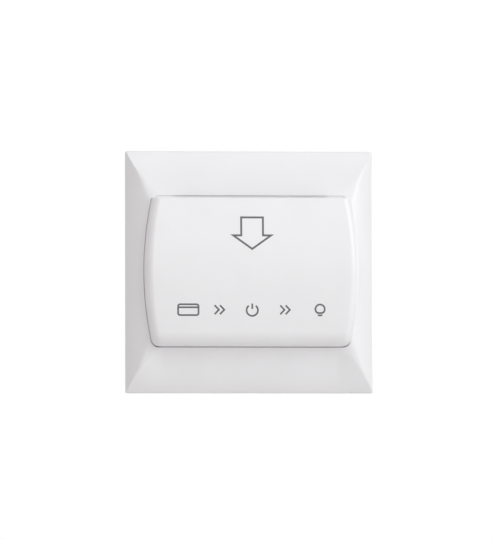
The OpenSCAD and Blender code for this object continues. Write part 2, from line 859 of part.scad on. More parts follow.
// A closed tube of a few sides along a list of points that never runs along x
module tube(points, r, sides) {
    rings = [
        for (i = [0 : len(points) - 1])
            let (way = along(points, i), side = cross(way, [1, 0, 0]), out = side / norm(side))
            for (a = [0 : 360 / sides : 359]) points[i] + r * (out * cos(a) + cross(out, way) * sin(a))
    ];
    last = (len(points) - 1) * sides;
    walls = [
        for (i = [0 : len(points) - 2], k = [0 : sides - 1])
            let (a = i * sides + k, b = i * sides + (k + 1) % sides)
            each [[a, b, b + sides], [a, b + sides, a + sides]]
    ];
    ends = [for (k = [1 : sides - 2]) each [[0, k + 1, k], [last, last + k, last + k + 1]]];
    polyhedron(rings, concat(walls, ends));
}

module lever_spring() {
    wire_sides = 6;
    color(steel) upright() translate([0, pivot_y, pivot_h]) tube(spring_path, wire_d / 2, wire_sides);
}

module microswitch_body() {
    low = switch_floor - switch_wall;
    color(black) upright() difference() {
        block([switch_left, switch_split, low], [switch_right, switch_back, switch_top]);
        block(
            [switch_left + switch_wall, switch_split - past, switch_floor],
            [switch_right - switch_wall, switch_back - switch_wall, switch_ceiling]
        );
        bar([0, switch_y], plunger_r + plunger_gap, switch_ceiling - merge, switch_top + past);
        for (place = pin_places) bar(place, lead_r + lead_gap, low - past, switch_floor + past);
    }
}

module microswitch_cover() {
    low = switch_floor - switch_wall;
    color(black) upright()
        block([switch_left, switch_split - cover_t, low], [switch_right, switch_split, switch_top]);
}

module microswitch_plunger() {
    color("firebrick") upright() {
        bar([0, switch_y], plunger_r, collar_top - collar_t, plunger_top);
        bar([0, switch_y], collar_r, collar_top - collar_t, collar_top);
        bar([0, switch_y], foot_r, foot_end, collar_top);
    }
}

module contact_blade() {
    color(brass) upright() translate([0, switch_y, 0]) {
        block([post_x, -blade_w / 2, blade_top - blade_t], [blade_tip, blade_w / 2, blade_top]);
        translate([post_x, 0, blade_mid]) rotate([90, 0, 0]) cylinder(h = blade_w, r = heel_r, center = true);
        bar([rivet_x, 0], rivet_r, blade_top - blade_t - rivet_h, blade_top + rivet_h);
    }
}

module microswitch_contacts() {
    stub = board_rear - lead_stub;
    open_strip = open_top - rivet_h;
    closed_strip = closed_top + rivet_h;
    color(brass) upright() {
        for (place = pin_places) bar(place, lead_r, stub, switch_floor + merge);
        translate([0, switch_y, 0]) {
            leg(post_x, blade_mid - heel_r - contact_gap);
            leg(open_leg_x, open_strip);
            strip([open_leg_x - strip_t / 2, rivet_x + rivet_r], [open_strip - strip_t, open_strip]);
            bar([rivet_x, 0], rivet_r, open_strip - merge, open_top);
            leg(closed_leg_x, closed_strip + strip_t);
            strip([rivet_x - rivet_r, closed_leg_x], [closed_strip, closed_strip + strip_t]);
            bar([rivet_x, 0], rivet_r, closed_top, closed_strip + merge);
        }
    }
}

// A terminal's leg from the switch's floor up to a height
module leg(x, top) {
    strip([x - strip_t / 2, x + strip_t / 2], [switch_floor, top]);
}

// A piece of terminal strip between two places along x and two heights
module strip(xs, heights) {
    block([xs[0], -strip_w / 2, heights[0]], [xs[1], strip_w / 2, heights[1]]);
}

module circuit_board() {
    color(board_green) upright() difference() {
        slab(board_w, board_l, board_rear, board_front);
        for (place = housing_bosses) board_hole(place, housing_boss_r + board_gap);
        for (place = board_screw_places) board_hole(place, screw_r + hole_play);
        for (place = concat(lead_places, pin_places)) board_hole(place, lead_r + lead_gap);
        for (x = pole_xs) board_hole([x, cage_mid], tab_r + lead_gap);
    }
}

// A hole through the board
module board_hole(place, r) {
    bar(place, r, board_rear - past, board_front + past);
}

module board_screws() {
    color(steel) upright() for (place = board_screw_places) small_screw(place, board_rear, board_screw_l, 1);
}

// A box on the rear of the board
module board_box(at, size) {
    translate([at.x, at.y, 0]) slab(size.x, size.y, board_rear - size.z, board_rear);
}

module relay() {
    lip = [0.4, 0.4, 0];
    lip_h = 1;
    color("#2b2f36") upright() {
        board_box(relay_at, relay_size - lip);
        board_box(relay_at, [relay_size.x, relay_size.y, lip_h]);
    }
}

module film_capacitor() {
    color("#c8b64a") upright() board_box(film_at, film_size);
}

module electrolytic_capacitor() {
    groove_low = 1.6;
    groove_r = 0.4;
    vent_d = 0.3;
    color("#2c3c63") upright() translate([can_at.x, can_at.y, board_rear]) rotate([180, 0, 0]) difference() {
        cylinder(h = can_h, r = can_r);
        translate([0, 0, groove_low]) rotate_extrude() translate([can_r, 0]) circle(groove_r);
        translate([0, 0, can_h - vent_d]) cylinder(h = past, r = can_r - 2 * groove_r);
    }
}

module bridge_rectifier() {
    color(black) upright() board_box(bridge_at, bridge_size);
}

module fuse() {
    cap_h = 1;
    cap_step = 0.4;
    color("#7a4a2c") upright() {
        bar(fuse_at, fuse_r, board_rear - fuse_h, board_rear - cap_h);
        bar(fuse_at, fuse_r - cap_step, board_rear - cap_h - merge, board_rear);
    }
}

module varistor() {
    foot_w = varistor_t / 2;
    middle = board_rear - varistor_r - past;
    color("#2d5fa8") upright() translate([varistor_at.x, varistor_at.y, 0]) {
        translate([0, 0, middle]) cross_bar(varistor_r, -varistor_t / 2, varistor_t / 2);
        slab(foot_w, varistor_r, middle, board_rear);
    }
}

module controller_chip() {
    foot_l = 0.8;
    foot_w = 0.4;
    foot_t = 0.2;
    foot_pitch = 1.27;
    foot_count = 4;
    color(black) upright() translate([chip_at.x, chip_at.y, 0]) {
        slab(chip_size.x, chip_size.y, board_rear - chip_size.z, board_rear);
        for (i = [0 : foot_count - 1], side = [-1, 1])
            translate([(i - (foot_count - 1) / 2) * foot_pitch, side * (chip_size.y + foot_l - merge) / 2, 0])
                slab(foot_w, foot_l + merge, board_rear - foot_t, board_rear);
    }
}

module chip_resistors() {
    color("#1d1f22") upright() for (i = [0 : resistor_count - 1])
        board_box(resistor_at + [i * resistor_pitch, 0], resistor_size);
}

module component_leads() {
    color(steel) upright() for (place = lead_places) bar(place, lead_r, board_rear, board_front + lead_stub);
}

module terminal_block() {
    w = pole_pitch - pole_gap;
    hollow_half = cage_w / 2 + cage_gap;
    color("#e9e7df") upright() for (x = pole_xs) translate([x, 0, 0]) difference() {
        block([-w / 2, pole_mouth, pole_rear], [w / 2, pole_back, board_rear]);
        block(
            [-hollow_half, pole_mouth + entry_wall, cage_rear - cage_gap],
            [hollow_half, cage_mouth + cage_l + cage_gap, board_rear + past]
        );
        translate([0, pole_mouth - past, wire_z]) rotate([-90, 0, 0])
            cylinder(h = entry_wall + 2 * past, r = wire_r);
        bar([0, cage_mid], clamp_head_r + hole_play, pole_rear - past, cage_rear);
    }
}

module terminal_cages() {
    color(brass) upright() for (x = pole_xs) translate([x, 0, 0]) difference() {
        union() {
            block([-cage_w / 2, cage_mouth, cage_rear], [cage_w / 2, cage_mouth + cage_l, cage_front]);
            bar([0, cage_mid], tab_r, cage_front - merge, board_front + lead_stub);
        }
        translate([0, cage_mouth - past, wire_z]) rotate([-90, 0, 0])
            cylinder(h = cage_l + 2 * past, r = wire_r + cage_gap / 2);
        bar([0, cage_mid], clamp_screw_r + thread_gap, cage_rear - past, wire_z);
    }
}

module terminal_screws() {
    grip = cage_wall - cage_gap;
    color(steel) upright() for (x = pole_xs)
        screw([x, cage_mid], cage_rear - cage_gap / 2, grip, clamp_screw_r, clamp_head_r, clamp_head_h, 1);
}

module rear_housing() {
    inner_w = housing_w - 2 * housing_wall;
    inner_l = housing_l - 2 * housing_wall;
    partition_front = board_rear - board_gap;
    color(pale_grey) upright() difference() {
        union() {
            difference() {
                slab(housing_w, housing_l, housing_rear, seat_d);
                difference() {
                    slab(inner_w, inner_l, housing_rear + housing_wall, seat_d + past);
                    block(
                        [-notch_half - housing_wall, -housing_l / 2, housing_rear],
                        [notch_half + housing_wall, notch_top + housing_wall, partition_front]
                    );
                }
            }
            for (place = housing_bosses) bar(place, housing_boss_r, housing_rear + merge, seat_d);
        }
        block([-notch_half, -housing_l / 2 - past, housing_rear - past], [notch_half, notch_top, board_rear]);
        for (place = housing_bosses)
            bar(place, screw_r + thread_gap, base_t - housing_screw_l - merge, seat_d + past);
    }
}

module housing_screws() {
    color(steel) upright() for (place = housing_bosses) small_screw(place, base_t, housing_screw_l, -1);
}

echo(lever_swing_deg = lever_swing, plunger_travel = pad_drop, blade_turn_deg = blade_turn);
echo(least_spring_gap = spring_gap, front_height = panel_front_h, rear = housing_rear);

front_frame();
card_panel();
panel_screws();
base_plate();
card_lever();
lever_pin();
lever_spring();
microswitch_body();
microswitch_cover();
microswitch_plunger();
contact_blade();
microswitch_contacts();
circuit_board();
board_screws();
relay();
film_capacitor();
electrolytic_capacitor();
bridge_rectifier();
fuse();
varistor();
controller_chip();
chip_resistors();
component_leads();
terminal_block();
terminal_cages();
terminal_screws();
rear_housing();
housing_screws();
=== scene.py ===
"""Looks of a hotel key card switch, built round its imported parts.

Sizes are millimetres on the bench, as the switch lies on its back: x to the right, y up the wall and
h out of the wall. The function at() stands a bench point upright in the frame, in metres.
"""
import json
import math

import bmesh
import bpy
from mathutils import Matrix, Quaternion, Vector


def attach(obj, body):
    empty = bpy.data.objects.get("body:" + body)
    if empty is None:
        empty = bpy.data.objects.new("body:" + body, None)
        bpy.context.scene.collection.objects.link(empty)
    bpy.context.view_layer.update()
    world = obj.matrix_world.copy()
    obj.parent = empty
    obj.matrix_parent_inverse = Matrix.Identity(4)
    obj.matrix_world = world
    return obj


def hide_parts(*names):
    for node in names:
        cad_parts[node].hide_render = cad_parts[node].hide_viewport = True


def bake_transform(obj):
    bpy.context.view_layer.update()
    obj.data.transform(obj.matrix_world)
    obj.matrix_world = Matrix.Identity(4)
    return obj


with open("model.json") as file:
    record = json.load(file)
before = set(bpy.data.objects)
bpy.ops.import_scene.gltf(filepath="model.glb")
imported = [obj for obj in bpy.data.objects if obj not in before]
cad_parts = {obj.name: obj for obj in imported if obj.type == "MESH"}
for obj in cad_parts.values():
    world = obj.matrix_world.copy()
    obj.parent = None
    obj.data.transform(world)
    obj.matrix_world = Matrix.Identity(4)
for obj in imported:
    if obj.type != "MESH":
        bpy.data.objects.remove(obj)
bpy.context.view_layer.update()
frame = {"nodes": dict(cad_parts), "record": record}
MM = 0.001

# Surround
PLATE_HW = 44
PLATE_HH = 43
RIM_H = 3.6
RIM_FOOT = 0.3
CREST = 11
SIDE_BEVEL_W = 8.6
SIDE_BEVEL_R = 20
END_BEVEL_W = 15.6
END_BEVEL_R = 45
FRAME_WALL = 2.2
# Rounds of the surround: its outer corners, its rim, its foot, the edge of its groove and its crest
CORNER_ROUND = 0.6
RIM_ROUND = 0.45
FOOT_ROUND = 0.15
GROOVE_ROUND = 0.22
CREST_ROUND = 0.1
# How deep the lower and upper bevels are dished between the panel and the rim, and where the dish ends
LOW_DISH = 1.4
TOP_DISH = 0.5
DISH_HW = 30
DISH_FADE = 10
# Width of the round on a mitre at the rim, and how much it grows towards the crest
MITRE_ROUND = 0.12
MITRE_FADE = 1.6

# Card panel
PANEL_HW = 37.78
PANEL_LOW = 26.9
PANEL_TOP = 25.65
BOW_R = 123
CROWN_R = 180
FACE_H = 18.38
FLANK_R = 3.2
ROLL_R = 5.5
LIP_R = 0.9
CORNER_R = 2.4
SKIRT_FOOT = 8.6
SKIRT_WALL = 2.6
PANEL_FIT = 0.3
# Gap beside the panel, and how much wider it is below the panel
SEAM = 0.1
SEAM_LOW = 0.08
# The slot behind the panel's lip: its width and reach in the skin, and the level of the deck in it
SLOT_HW = 33.4
SLOT_TOP = 26.65
DECK = 10.6
# The groove that the panel's skirt stands in, and what guides and stops the card behind the face
GROOVE_FLOOR = 8.4
BED_T = 1.6
CHANNEL_HALF = 27.29
CHANNEL_TOP = 15.4
GUIDE_WALL = 1.6
EDGE_RIB_W = 1.7
EDGE_RIB_H = 13.1
STOP_BAR_D = 1.4
LIP_CHAMFER = 0.35
# The panel's bosses and screws
BOSS_R = 2.3
BOSS_X = 30.99
BOSS_Y = 17
SCREW_R = 1.03
SCREW_END = 14.6
SCREW_HOLE_R = 1.25
SCREW_HEAD_ROOM = 2.15
# Window for the lever's nose, and the room for its tip behind the panel's face
NOSE_HW = 4.1
NOSE_LOW = -20.8
NOSE_HIGH = -10.8
TIP_LOW = -18.6
TIP_HIGH = -14.4
TIP_ROOM = 16.6
# Posts, hooks and pry notch inside the surround
BASE_TOP = 2.4
POST_R = 2.4
POST_X = 34.7
POST_Y = 24.6
HOOK_XS = (-20, 20)
HOOK_HW = 4
HOOK_T = 0.7
HOOK_TOP = 1.05
HOOK_TIP = 38.3
PRY_HW = 3.5
PRY_H = 1.2
# How deep joined shapes of one piece sink into each other, and how far a cut runs past a face
MERGE = 0.2
PAST = 1
# Steps on a rounded corner, and sides of a round bar
ROUND_STEPS = 8
BAR_SIDES = 40


def at(x, y, h):
    """A bench point in the frame, in metres."""
    return Vector((x, -h, y)) * MM


def fine_steps(first, last, count):
    """Evenly spaced values from first to last."""
    return [first + (last - first) * i / count for i in range(count + 1)]


def arc(centre, r, first, last, count):
    """Points on an arc, between two angles in degrees."""
    turns = (math.radians(a) for a in fine_steps(first, last, count))
    return [(centre[0] + r * math.cos(a), centre[1] + r * math.sin(a)) for a in turns]


def mix(a, b, t):
    """A point between two points."""
    return tuple(p + (q - p) * t for p, q in zip(a, b))


def round_rect(half_w, half_h, r, middle=(0, 0)):
    """Outline of a rectangle with rounded corners."""
    x, y = half_w - r, half_h - r
    corners = [((x, -y), -90), ((x, y), 0), ((-x, y), 90), ((-x, -y), 180)]
    points = [p for centre, first in corners for p in arc(centre, r, first, first + 90, ROUND_STEPS)]
    return [(middle[0] + p[0], middle[1] + p[1]) for p in points]


def in_corners(x, y):
    """Four places, one in each corner."""
    return [(sx * x, sy * y) for sx in (-1, 1) for sy in (-1, 1)]


BOSS_PLACES = in_corners(BOSS_X, BOSS_Y)
POST_PLACES = in_corners(POST_X, POST_Y)


# Shapes: lists of bench points and of faces

def block(low, high):
    """A box from its least corner to its greatest."""
    outline = [(low[0], low[1]), (high[0], low[1]), (high[0], high[1]), (low[0], high[1])]
    return prism(outline, low[2], high[2])


def bar(place, r, low, high):
    """A round bar at a place, between two heights."""
    return turned(place, [(low, r), (high, r)])


def turned(place, profile):
    """A round shape at a place, from pairs of a height and a radius."""
    last = 360 - 360 / BAR_SIDES
    return loft([[(x, y, h) for x, y in arc(place, r, 0, last, BAR_SIDES - 1)] for h, r in profile])


def prism(outline, low, high):
    """An outline in x and y, drawn out between two heights."""
    return loft([[(x, y, low) for x, y in outline], [(x, y, high) for x, y in outline]])


def loft(rings, closed=False):
    """A skin over rings of as many points each, capped at both ends or closed on itself."""
    count = len(rings[0])
    points = [p for line in rings for p in line]
    faces = []
    for k in range(len(rings) if closed else len(rings) - 1):
        for i in range(count):
            a, b = k * count + i, k * count + (i + 1) % count
            c, d = (b + count) % len(points), (a + count) % len(points)
            faces.append((a, b, c, d))
    if not closed:
        last = (len(rings) - 1) * count
        faces.append(tuple(range(count - 1, -1, -1)))
        faces.append(tuple(range(last, last + count)))
    return points, faces


def join(shapes):
    """Several shapes as one."""
    points, faces = [], []
    for more, sides in shapes:
        faces += [tuple(i + len(points) for i in side) for side in sides]
        points += more
    return points, faces


# Angle in degrees above which an edge stays sharp, and how near points count as one, in metres
SHARP = 35
SAME_PLACE = 1e-7


def make(name, shape, material=None):
    """An object of a shape, shaded smooth between its sharp edges."""
    points, faces = shape
    mesh = bpy.data.meshes.new(name)
    mesh.from_pydata([at(*p) for p in points], [], faces)
    mesh.validate()
    obj = bpy.data.objects.new(name, mesh)
    bpy.context.scene.collection.objects.link(obj)
    finish_mesh(obj, material)
    return obj


def finish_mesh(obj, material=None):
    """Turns the faces outwards, shades smooth between sharp edges and gives the mesh its material."""
    work = bmesh.new()
    work.from_mesh(obj.data)
    bmesh.ops.remove_doubles(work, verts=work.verts, dist=SAME_PLACE)
    bmesh.ops.recalc_face_normals(work, faces=work.faces)
    work.to_mesh(obj.data)
    work.free()
    obj.data.shade_smooth()
    obj.data.set_sharp_from_angle(angle=math.radians(SHARP))
    if material:
        obj.data.materials.clear()
        obj.data.materials.append(material)


def combine(obj, shape, operation):
    """Adds a shape to an object, or cuts it away, for good."""
    tool = make(obj.name + "_tool", shape)
    change = obj.modifiers.new("change", "BOOLEAN")
    change.object = tool
    change.operation = operation
    change.solver = "EXACT"
    graph = bpy.context.evaluated_depsgraph_get()
    made = bpy.data.meshes.new_from_object(obj.evaluated_get(graph))
    obj.modifiers.clear()
    obj.data = made
    bpy.data.objects.remove(tool)
    finish_mesh(obj)


# Heights of the surround's skin

def bevel_arc(half, width, r):
    """Centre of a bevel's arc: its distance from the middle and its height."""
    rise = CREST - RIM_H
    chord = math.hypot(width, rise)
    reach = math.sqrt(r * r - chord * chord / 4)
    return half - width / 2 - rise / chord * reach, (CREST + RIM_H) / 2 - width / chord * reach


SIDE_ARC = bevel_arc(PLATE_HW, SIDE_BEVEL_W, SIDE_BEVEL_R)
END_ARC = bevel_arc(PLATE_HH, END_BEVEL_W, END_BEVEL_R)


def bevel_height(out, centre, r):
    """Height of a bevel's arc at a distance from the middle."""
    run = max(out - centre[0], 0)
    return centre[1] + math.sqrt(r * r - run * run)


def bevel_out(height, centre, r):
    """Distance from the middle at which a bevel's arc has a height."""
    return centre[0] + math.sqrt(r * r - (height - centre[1]) ** 2)


def soft_min(a, b, width):
    """The lesser of two heights, rounded over a width where they meet."""
    near = max(width - abs(a - b), 0)
    return min(a, b) - near * near / (4 * width)


def skin_height(x, y, wall=0):
    """Height of the surround's skin, or of its inside under a wall."""
    side = bevel_height(abs(x), SIDE_ARC, SIDE_BEVEL_R - wall)
    end = bevel_height(abs(y), END_ARC, END_BEVEL_R - wall)
    climb = min(max((min(side, end) - RIM_H) / (CREST - RIM_H), 0), 1)
    bevels = soft_min(side, end, MITRE_ROUND + MITRE_FADE * climb ** 3)
    return soft_min(bevels, CREST - wall, CREST_ROUND) - (0 if wall else dish(x, y))


def smooth_step(t):
    """A soft rise from 0 to 1."""
    t = min(max(t, 0), 1)
    return t * t * (3 - 2 * t)


# What makes the dip's curve 1 where it is deepest, a third of the way out
DISH_PEAK = 27 / 4


def dish(x, y):
    """How far the upper and lower bevels dip between the panel and the rim."""
    depth, inner = (LOW_DISH, PANEL_LOW) if y < 0 else (TOP_DISH, SLOT_TOP)
    out = min(max((abs(y) - inner) / (PLATE_HH - inner), 0), 1)
    beside = smooth_step(1 - (abs(x) - DISH_HW) / DISH_FADE)
    return depth * beside * DISH_PEAK * out * (1 - out) ** 2


# Outlines, each as four sides of points, in turn: right, top, left and bottom

# Steps along a side, on half a corner of the plate and of the panel, and along the panel's bow
SIDE_STEPS = 64
PLATE_CORNER_STEPS = 6
PANEL_CORNER_STEPS = 12
BOW_STEPS = 60
# A length too short to matter
NO_LENGTH = 1e-9


def walk(points, shares):
    """Points at shares of the length of a line of points."""
    runs = [math.dist(a, b) for a, b in zip(points, points[1:])]
    total = sum(runs)
    found, k, before = [], 0, 0
    for share in shares:
        while k < len(runs) - 1 and before + runs[k] < share * total - NO_LENGTH:
            before += runs[k]
            k += 1
        found.append(mix(points[k], points[k + 1], (share * total - before) / runs[k]))
    return found


def ease(count):
    """Shares from 0 to 1 that crowd towards both ends."""
    return [(1 - math.cos(math.pi * i / count)) / 2 for i in range(count + 1)]


def mirrored(points):
    """A line of points on the other side of the middle, run the other way."""
    return [(-x, y) for x, y in reversed(points)]


def sides_of(right, top, bottom):
    """The four sides at their shares: each ends where the next begins."""
    return [
        walk(right, ease(SIDE_STEPS)), walk(top, TOP_SHARES),
        walk(mirrored(right), ease(SIDE_STEPS)), walk(bottom, ease(SIDE_STEPS)),
    ]


# The top side has points close together where the card's channel and the slot's mouth end
MOUTH_STEP = 0.003
TOP_HALF = PANEL_HW - BOW_R + math.sqrt(BOW_R ** 2 - PANEL_TOP ** 2)
MOUTH_SHARES = [
    half / TOP_HALF / 2 + step
    for half in (CHANNEL_HALF, SLOT_HW)
    for step in (-MOUTH_STEP, 0, MOUTH_STEP)
]
TOP_SHARES = sorted(ease(SIDE_STEPS) + [0.5 + s * share for s in (-1, 1) for share in MOUTH_SHARES])


def plate_outline(inset, corner):
    """The surround's outline, set in, with rounded corners."""
    x, y = PLATE_HW - inset, PLATE_HH - inset
    steps = PLATE_CORNER_STEPS
    low = arc((x - corner, corner - y), corner, -45, 0, steps)
    high = arc((x - corner, y - corner), corner, 0, 90, 2 * steps)
    right = low + high[:steps + 1]
    top = high[steps:] + mirrored(high)[:steps + 1]
    foot = arc((x - corner, corner - y), corner, -90, -45, steps)
    bottom = mirrored(foot) + foot
    return sides_of(right, top, bottom)


def panel_outline(grow, lower=0):
    """The panel's outline, grown or shrunk all round, with its two lower corners rounded."""
    bow = BOW_R + grow
    bow_x = PANEL_HW - BOW_R
    r = max(CORNER_R + grow, MERGE)
    low = r - PANEL_LOW - grow - lower
    centre = (bow_x + math.sqrt((bow - r) ** 2 - low * low), low)
    lean = math.degrees(math.atan2(centre[1], centre[0] - bow_x))
    head = math.degrees(math.asin((PANEL_TOP + grow) / bow))
    middle = (lean - 90) / 2
    right = arc(centre, r, middle, lean, PANEL_CORNER_STEPS)
    right += arc((bow_x, 0), bow, lean, head, BOW_STEPS)[1:]
    top = [right[-1], (-right[-1][0], right[-1][1])]
    foot = arc(centre, r, -90, middle, PANEL_CORNER_STEPS)
    return sides_of(right, top, mirrored(foot) + foot)


def ring(sides, height):
    """A ring of points over the four sides, at a height that may depend on the side and the place."""
    return [(x, y, height(k, x, y)) for k, side in enumerate(sides) for x, y in side[:-1]]


def level(h):
    """A height that is the same everywhere."""
    return lambda k, x, y: h


def between(outer, inner, share):
    """The four sides a share of the way from one outline to another."""
    return [[mix(p, q, share) for p, q in zip(a, b)] for a, b in zip(outer, inner)]


def bevel_sides(outer, inner, share):
    """The four sides of a ring on the bevels, whose corners follow the mitres."""
    made = []
    for line in between(outer, inner, share):
        first = mitre_shift(line[0], share)
        last = mitre_shift(line[-1], share)
        count = len(line) - 1
        made.append([
            (x, y + first * (1 - i / count) + last * i / count) for i, (x, y) in enumerate(line)
        ])
    return made


def mitre_shift(corner, share):
    """How far a corner of a ring moves up or down to lie on the mitre."""
    if share in (0, 1):
        return 0
    height = min(bevel_height(abs(corner[0]), SIDE_ARC, SIDE_BEVEL_R), CREST)
    return math.copysign(bevel_out(height, END_ARC, END_BEVEL_R) - abs(corner[1]), corner[1])


def in_mouth(k, x, half):
    """Whether a place on the top side lies in the card slot's mouth."""
    return k == 1 and abs(x) < half


def with_slot(sides, reach):
    """The four sides with the top side moved up where the slot is."""
    top = [(x, reach if abs(x) < SLOT_HW else y) for x, y in sides[1]]
    return [sides[0], top, sides[2], sides[3]]


def square_to_mouth(inner, outer):
    """The inner four sides, with those in the slot's mouth straight below the outer ones."""
    keep = CHANNEL_HALF + GUIDE_WALL
    narrow = (inner[1][0][0] - keep) / (outer[1][0][0] - keep)
    top = []
    for (_, y), (x, _) in zip(inner[1], outer[1]):
        past = max(abs(x) - keep, 0)
        top.append((math.copysign(abs(x) - past + past * narrow, x), y))
    return [inner[0], top, inner[2], inner[3]]


# Steps under the bevels, on the rim's round, on the bevels and on the edge of the groove
UNDER_STEPS = 12
RIM_STEPS = 6
BEVEL_STEPS = 30
GROOVE_STEPS = 4


def surround_inside():
    """Rings on the inside of the surround, from under the panel out to the foot of the rim."""
    bed_in = panel_outline(-SKIRT_WALL - PANEL_FIT - BED_T)
    bed_out = panel_outline(PANEL_FIT + BED_T)
    inner_wall = plate_outline(FRAME_WALL, CORNER_ROUND)

    def under(k, x, y):
        return skin_height(x, y, FRAME_WALL)

    def bed(k, x, y):
        inside = under(k, x, y)
        return inside if in_mouth(k, x, CHANNEL_HALF - BED_T) else min(GROOVE_FLOOR - BED_T, inside)

    rings = [ring(bed_in, under), ring(bed_in, bed), ring(bed_out, bed), ring(bed_out, under)]
    rings += [ring(between(bed_out, inner_wall, t), under) for t in fine_steps(0, 1, UNDER_STEPS)[1:]]
    rings.append(ring(inner_wall, level(RIM_FOOT)))
    return rings


def surround_outside():
    """Rings from the foot of the rim over the bevels and down into the panel's groove."""
    rim = plate_outline(RIM_ROUND, CORNER_ROUND)
    wall = plate_outline(0, CORNER_ROUND)
    edge = with_slot(panel_outline(SEAM + GROOVE_ROUND, SEAM_LOW), SLOT_TOP + GROOVE_ROUND)
    groove_out = panel_outline(SEAM, SEAM_LOW)
    groove_in = square_to_mouth(panel_outline(-SKIRT_WALL - PANEL_FIT), groove_out)
    slot_out = with_slot(groove_out, SLOT_TOP)

    def skin(k, x, y):
        return skin_height(x, y)

    def ledge(k, x, y):
        return DECK if in_mouth(k, x, SLOT_HW) else GROOVE_FLOOR

    def trough(k, x, y):
        return DECK if in_mouth(k, x, CHANNEL_HALF - PANEL_FIT) else GROOVE_FLOOR

    rings = [
        ring(plate_outline(FOOT_ROUND, CORNER_ROUND), level(RIM_FOOT)),
        ring(wall, level(RIM_FOOT + FOOT_ROUND)),
    ]
    rings += [rim_round(rim, wall, t) for t in fine_steps(0, 1, RIM_STEPS)[:-1]]
    rings += [ring(bevel_sides(rim, edge, t), skin) for t in fine_steps(0, 1, BEVEL_STEPS)]
    for t in fine_steps(0, 1, GROOVE_STEPS)[1:]:
        sides = between(edge, slot_out, 2 * t - t * t)
        rings.append(ring(sides, lambda k, x, y: skin_height(x, y) - GROOVE_ROUND * t * t))
    rings += [
        ring(slot_out, ledge), ring(groove_out, ledge), ring(groove_out, trough),
        ring(groove_in, trough), ring(groove_in, level(DECK)),
    ]
    return rings


def build_surround(material):
    """The surround: its skin, hooks and posts, less the nose's window, the pry notch and screw holes."""
    obj = make("surround", loft(surround_inside() + surround_outside()), material)
    posts = [bar(place, POST_R, BASE_TOP, CREST - PAST) for place in POST_PLACES]
    combine(obj, join(posts + [hook(x, side) for x in HOOK_XS for side in (-1, 1)]), "UNION")
    low = GROOVE_FLOOR - BED_T - PAST
    window = block((-NOSE_HW, NOSE_LOW, low), (NOSE_HW, NOSE_HIGH, CREST + PAST))
    pry_in = FRAME_WALL + PAST - PLATE_HH
    pry = block((-PRY_HW, -PLATE_HH - PAST, 0), (PRY_HW, pry_in, RIM_FOOT + PRY_H))
    stepped = [(low, SCREW_HEAD_ROOM), (CREST - FRAME_WALL, SCREW_HEAD_ROOM)]
    stepped += [(CREST - FRAME_WALL, SCREW_HOLE_R), (CREST + PAST, SCREW_HOLE_R)]
    combine(obj, join([window, pry] + [turned(place, stepped) for place in BOSS_PLACES]), "DIFFERENCE")
    return obj


def hook(x, side):
    """A snap hook inside the upper (1) or lower (-1) rim."""
    ys = sorted((side * HOOK_TIP, side * (PLATE_HH - FRAME_WALL + MERGE)))
    return block((x - HOOK_HW, ys[0], HOOK_TOP - HOOK_T), (x + HOOK_HW, ys[1], HOOK_TOP))


def rim_round(rim, wall, t):
    """A ring on the round between the outer wall (t 0) and the bevels (t 1)."""
    points = []
    for rim_side, wall_side in zip(rim, wall):
        for p, q in zip(rim_side[:-1], wall_side[:-1]):
            inner = skin_height(*p)
            sharp = skin_height(*q)
            x, y = mix(q, p, t * t)
            h = (1 - t) ** 2 * (sharp - RIM_ROUND) + 2 * t * (1 - t) * sharp + t * t * inner
            points.append((x, y, h))
    return points


# Card panel

# Steps on its bottom roll, up its face, on its lip, up its flanks, on their rounds and across
ROLL_STEPS = 18
FACE_STEPS = 30
LIP_STEPS = 8
FLANK_STEPS = 4
FLANK_ROUND_STEPS = 12
ACROSS_STEPS = 40


def face_at(y):
    """Height of the panel's face at a place up the panel."""
    return FACE_H - CROWN_R + math.sqrt(CROWN_R ** 2 - y * y)


def panel_half(y):
    """Half the panel's width at a place up the panel, less what its rounded lower corners take."""
    half = PANEL_HW - BOW_R + math.sqrt(BOW_R ** 2 - y * y)
    below = CORNER_R - PANEL_LOW - y
    return half if below <= 0 else half - CORNER_R + math.sqrt(max(CORNER_R ** 2 - below * below, 0))


def panel_slices():
    """Places up the panel with the height of its face, from the bottom roll to the lip."""
    low, high = ROLL_R - PANEL_LOW, PANEL_TOP - LIP_R
    roll = [
        (low - ROLL_R * math.sin(a), face_at(low) - ROLL_R * (1 - math.cos(a)))
        for a in fine_steps(math.pi / 2, 0, ROLL_STEPS)
    ]
    face = [(y, face_at(y)) for y in fine_steps(low, high, FACE_STEPS)[1:-1]]
    lip = [
        (high + LIP_R * math.sin(a), face_at(high) - LIP_R * (1 - math.cos(a)))
        for a in fine_steps(0, math.pi / 2, LIP_STEPS)
    ]
    return roll + face + lip


def panel_section(y, top):
    """A slice through the panel, from its right foot over the face to its left foot."""
    half = panel_half(y)
    r = min(FLANK_R, top - SKIRT_FOOT - MERGE)
    right = [(half, h) for h in fine_steps(SKIRT_FOOT, top - r, FLANK_STEPS)[:-1]]
    right += arc((half - r, top - r), r, 0, 90, FLANK_ROUND_STEPS)
    face = [(x, top) for x in fine_steps(half - r, r - half, ACROSS_STEPS)[1:-1]]
    return [(x, y, h) for x, h in right + face + mirrored(right)]


